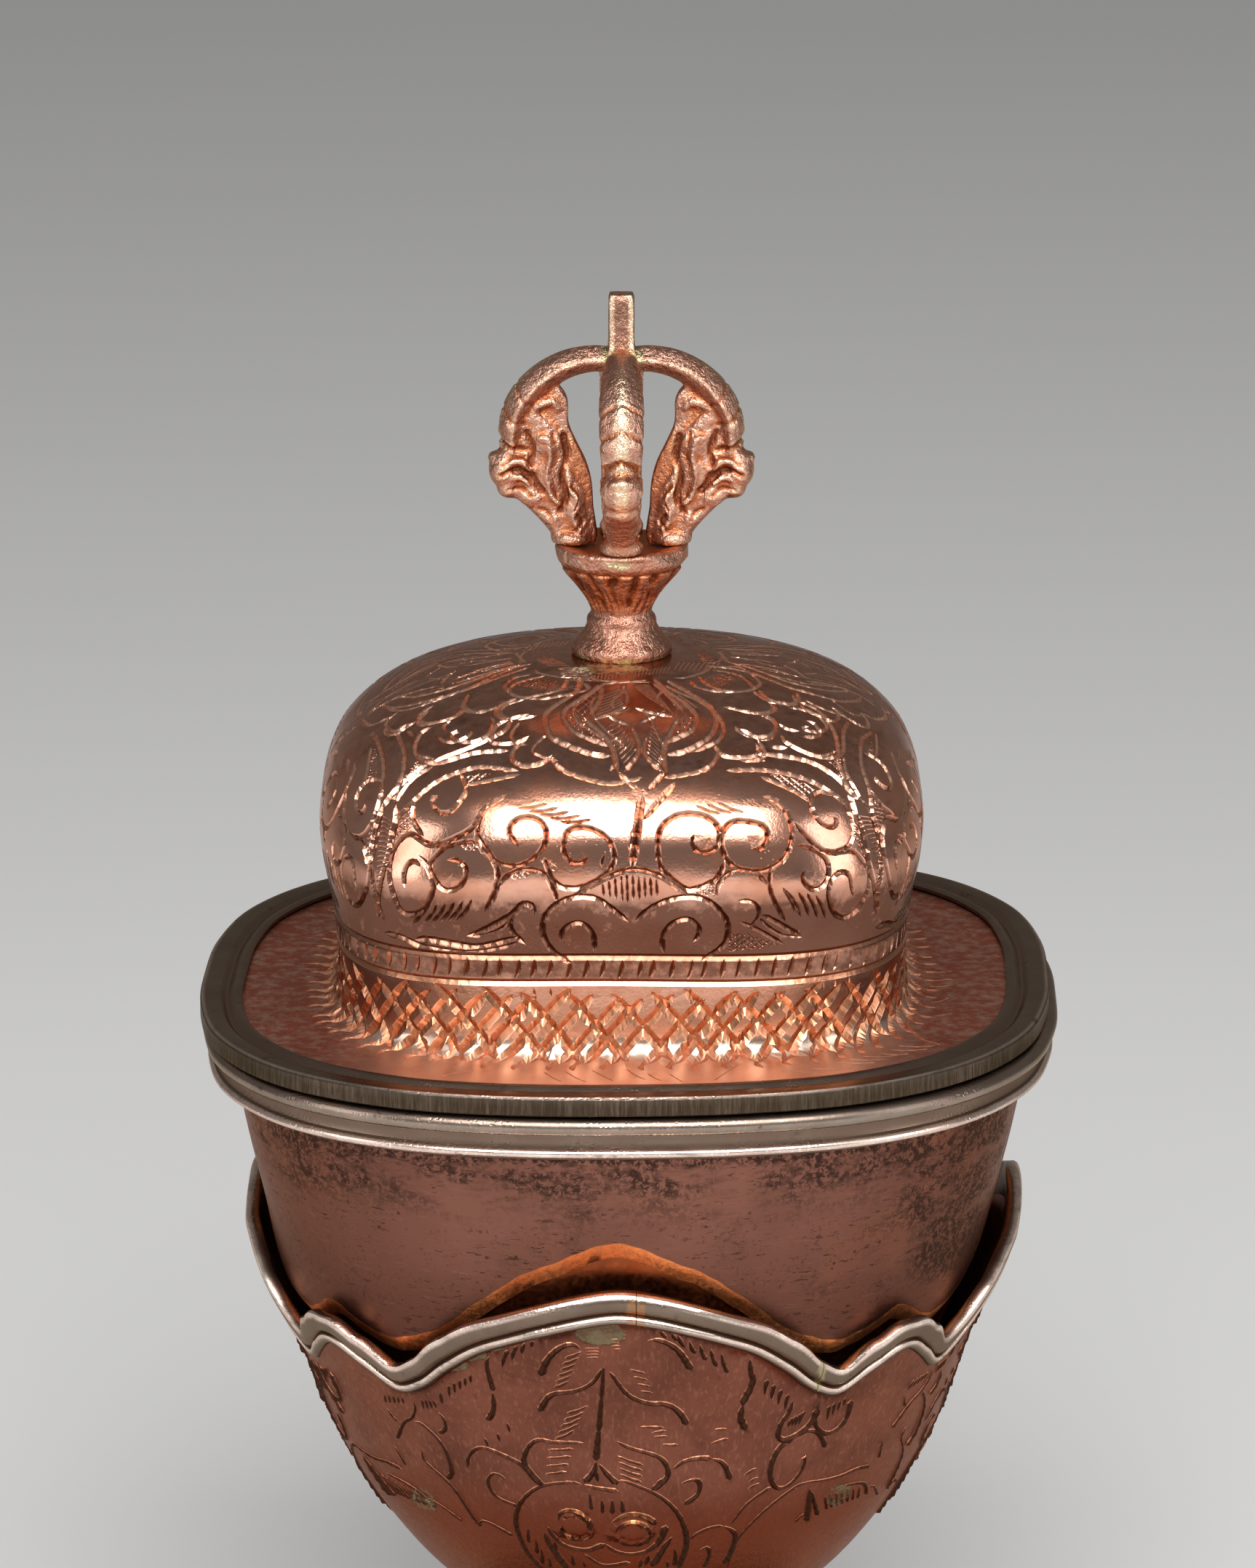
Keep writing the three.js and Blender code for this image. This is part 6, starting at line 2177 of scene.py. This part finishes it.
def makeStem():
    base, high = form["finialBase"], finial["stemHeight"]
    flange, neck, lotus = finial["flange"], finial["neck"], finial["lotus"]
    # Heights as shares, with the radius as a share of the flange, the neck or the lotus
    shares = (
        (flange, [(0, 0.96), (0.015, 1), (0.05, 0.985), (0.1, 0.9), (0.2, 0.73)]),
        (neck, [(0.255, 1.12), (0.28, 1.12), (0.31, 1.1), (0.335, 1.03), (0.36, 0.99), (0.42, 1.06)]),
        (lotus, [(0.5, 0.56), (0.6, 0.68), (0.68, 0.79), (0.75, 0.885), (0.79, 0.925), (0.815, 0.93)]),
        (lotus, [(0.86, 0.975), (0.9, 0.985), (0.94, 0.985), (0.975, 0.995), (1, 0.95)]),
    )
    outline = smoothCurve(*zip(*[(place, full * share) for full, rows in shares for place, share in rows]))
    rows, hollow, braze = [], [], []
    angle = around(240)
    phase = np.random.default_rng(4).uniform(0, 2 * pi, 6)

    def ripple(height):
        return sum(0.05 * np.sin(angle * (k + 2) + phase[k] + height * (k - 2)) for k in range(6))

    front = np.clip(1 - angleGap(angle, -pi / 2 - 0.03) / 0.33, 0, 1)
    levels = [np.linspace(0, 0.36, 26), np.linspace(0.38, 0.8, 40), np.linspace(0.81, 1, 16)]
    for share in np.concatenate(levels):
        # Petals with a split in each and scalloped tips
        window = np.clip((share - 0.37) / 0.1, 0, 1) * np.clip((0.8 - share) / 0.03, 0, 1)
        turned = angle * finial["petals"] + 1.1 * share + ripple(share * 6) * 7
        valley = np.abs(np.cos(turned / 2)) ** 5
        split = np.abs(np.cos(turned / 2 + pi / 2)) ** 14 * np.clip((0.72 - share) / 0.2, 0, 1)
        tip = np.clip((share - 0.66) / 0.12, 0, 1)
        scallop = np.abs(np.sin(turned / 2)) ** 1.5
        sunk = finial["petalDepth"] * window * np.maximum(valley, split * 0.7) * (1 + ripple(share * 14) * 4)
        sunk = sunk + 0.25 * tip * window * (1 - scallop) + 0.3 * hump(share, 0.8, 0.014)
        top = np.clip((share - 0.83) / 0.05, 0, 1)
        crack = np.clip(np.sin(angle * 9 + np.sin(angle * 5 + phase[2]) * 2) - 0.9, 0, 1) * 3 * top
        radius = float(outline(share)) - sunk + ripple(share * 9) * (0.25 + 1.3 * top) - crack * 0.3
        # The flange bears on the dome
        rise = ripple(2.0) * 1.6 - 0.12 if share > 0.94 else -0.42 * max(0.0, 1 - share / 0.04)
        rows.append((np.minimum(radius, lotus), base + high * share + rise))
        # Petal valleys and cracks are marked as hollows for painted shade and painted reflection
        hollow.append(np.clip(sunk * 2.6 + crack * 0.5, 0, 1))
        patch = front * np.clip(1 - np.abs(share - 0.92) / 0.08, 0, 1) * 1.6
        seam = np.clip(1 - share / 0.05, 0, 1) * np.clip(0.55 + ripple(1.0) * 4, 0, 1)
        braze.append(np.clip(np.maximum(patch, seam), 0, 1))
    # The dish is marked as a hollow for painted shade
    for radius, drop in ((lotus * 0.86, 0.05), (lotus * 0.7, 0.35), (lotus * 0.35, finial["dish"] - 0.1)):
        rows.append((radius, base + high - drop))
        hollow.append(angle * 0 + 0.35)
        braze.append(angle * 0)
    ends = (base - 0.1, base + high - finial["dish"])
    values = {"hollow": np.concatenate(hollow + [[0, 0.3]]), "braze": np.concatenate(braze + [[0, 0]])}
    poledPiece("lotusStem", rows, ends, angle, form["domeShift"], 50, values)


def makeCore():
    # Square bar with worn, slightly hollow faces
    base = form["lotusTop"] - finial["dish"] + 0.05
    half, high = finial["coreHalf"], finial["coreHeight"]
    angle = around(96) + pi / 96
    square = squareShare(angle, 9) * (1 - 0.055 * np.clip(np.cos(4 * angle), 0, 1) ** 2)
    edge = np.clip((np.abs(np.sin(2 * angle)) - 0.75) * 4, 0, 1)
    rows, values = [], {"worn": [], "paintedDarkReflection": [], "hollow": [], "braze": []}
    marks = [0, 0.03, 0.08, 0.14, 0.2, 0.3, 0.4, 0.5, 0.58, 0.64]
    marks += [0.7, 0.75, 0.79, 0.82, 0.86, 0.9, 0.94, 0.965, 0.985, 1]
    for share in marks:
        swell = 0.4 * hump(share, 0, 0.14) + 0.24 * hump(share, 0.73, 0.05)
        taper = 0.09 if share == 1 else 0.0
        radius = half * square * (0.9 + swell - taper) + 0.05 * np.sin(angle * 3 + share * 14)
        rows.append((np.minimum(radius, (half + 0.42) * squareShare(angle, 12)), base + high * share))
        values["worn"].append(edge)
        # Painted dark reflection on the flat faces, strongest near the top; the foot of the bar is marked as
        # a hollow for painted shade
        values["paintedDarkReflection"].append((1 - edge) * (0.22 + 0.6 * hump(share, 0.92, 0.05)))
        values["hollow"].append(angle * 0 + (0.7 if share < 0.2 else 0))
        values["braze"].append(angle * 0 + hump(share, 0.74, 0.045))
    values = {key: np.concatenate(value + [[0, 0]]) for key, value in values.items()}
    poledPiece("centreBar", rows, (base, base + high), angle, form["domeShift"], 35, values)


makeStem()
makeCore()
makeProngs()
print("finial made")

# The collar keeps its solid and gets its finish here
dress(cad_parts["lid_collar"], "polished")

# Studio: colour of the floor, light of the background, and power and size of each lamp
studio = {
    "floor": (0.74, 0.735, 0.725),
    "world": 0.22,
    "key": (26, 1.15, 0.78),
    "left": (3, 0.45, 0.8),
    "right": (3, 0.45, 0.8),
}


def makeStudio():
    size = 8
    mesh = bpy.data.meshes.new("floor")
    corners = [(-size, -size, 0), (size, -size, 0), (size, size, 0), (-size, size, 0)]
    mesh.from_pydata(corners, [], [(0, 1, 2, 3)])
    floor = placeObject("floor", mesh)
    floor.location.z = -0.0002
    g = Graph("floorPaint")
    tone = g.color(g.noise(6, 3), studio["floor"], [value * 0.97 for value in studio["floor"]])
    mesh.materials.append(g.paint({"Base Color": tone, "Roughness": 0.7}))

    world = bpy.data.worlds.new("studio")
    bpy.context.scene.world = world
    world.use_nodes = True
    back = world.node_tree.nodes["Background"]
    back.inputs["Color"].default_value = (studio["world"], studio["world"], studio["world"], 1)

    middle = Vector((0, 0, 0.12))
    places = {"key": (0.05, -0.95, 1.0), "left": (-1.0, -0.55, 0.35), "right": (1.0, -0.5, 0.4)}
    for key, place in places.items():
        data = bpy.data.lights.new(key + "Lamp", "AREA")
        data.shape = "RECTANGLE"
        data.energy, data.size, data.size_y = studio[key]
        lamp = placeObject(key + "Lamp", data)
        lamp.location = place
        lamp.rotation_euler = (middle - Vector(place)).to_track_quat("-Z", "Y").to_euler()


makeStudio()
bpy.context.scene.view_settings.view_transform = "Standard"

print("scene ready")
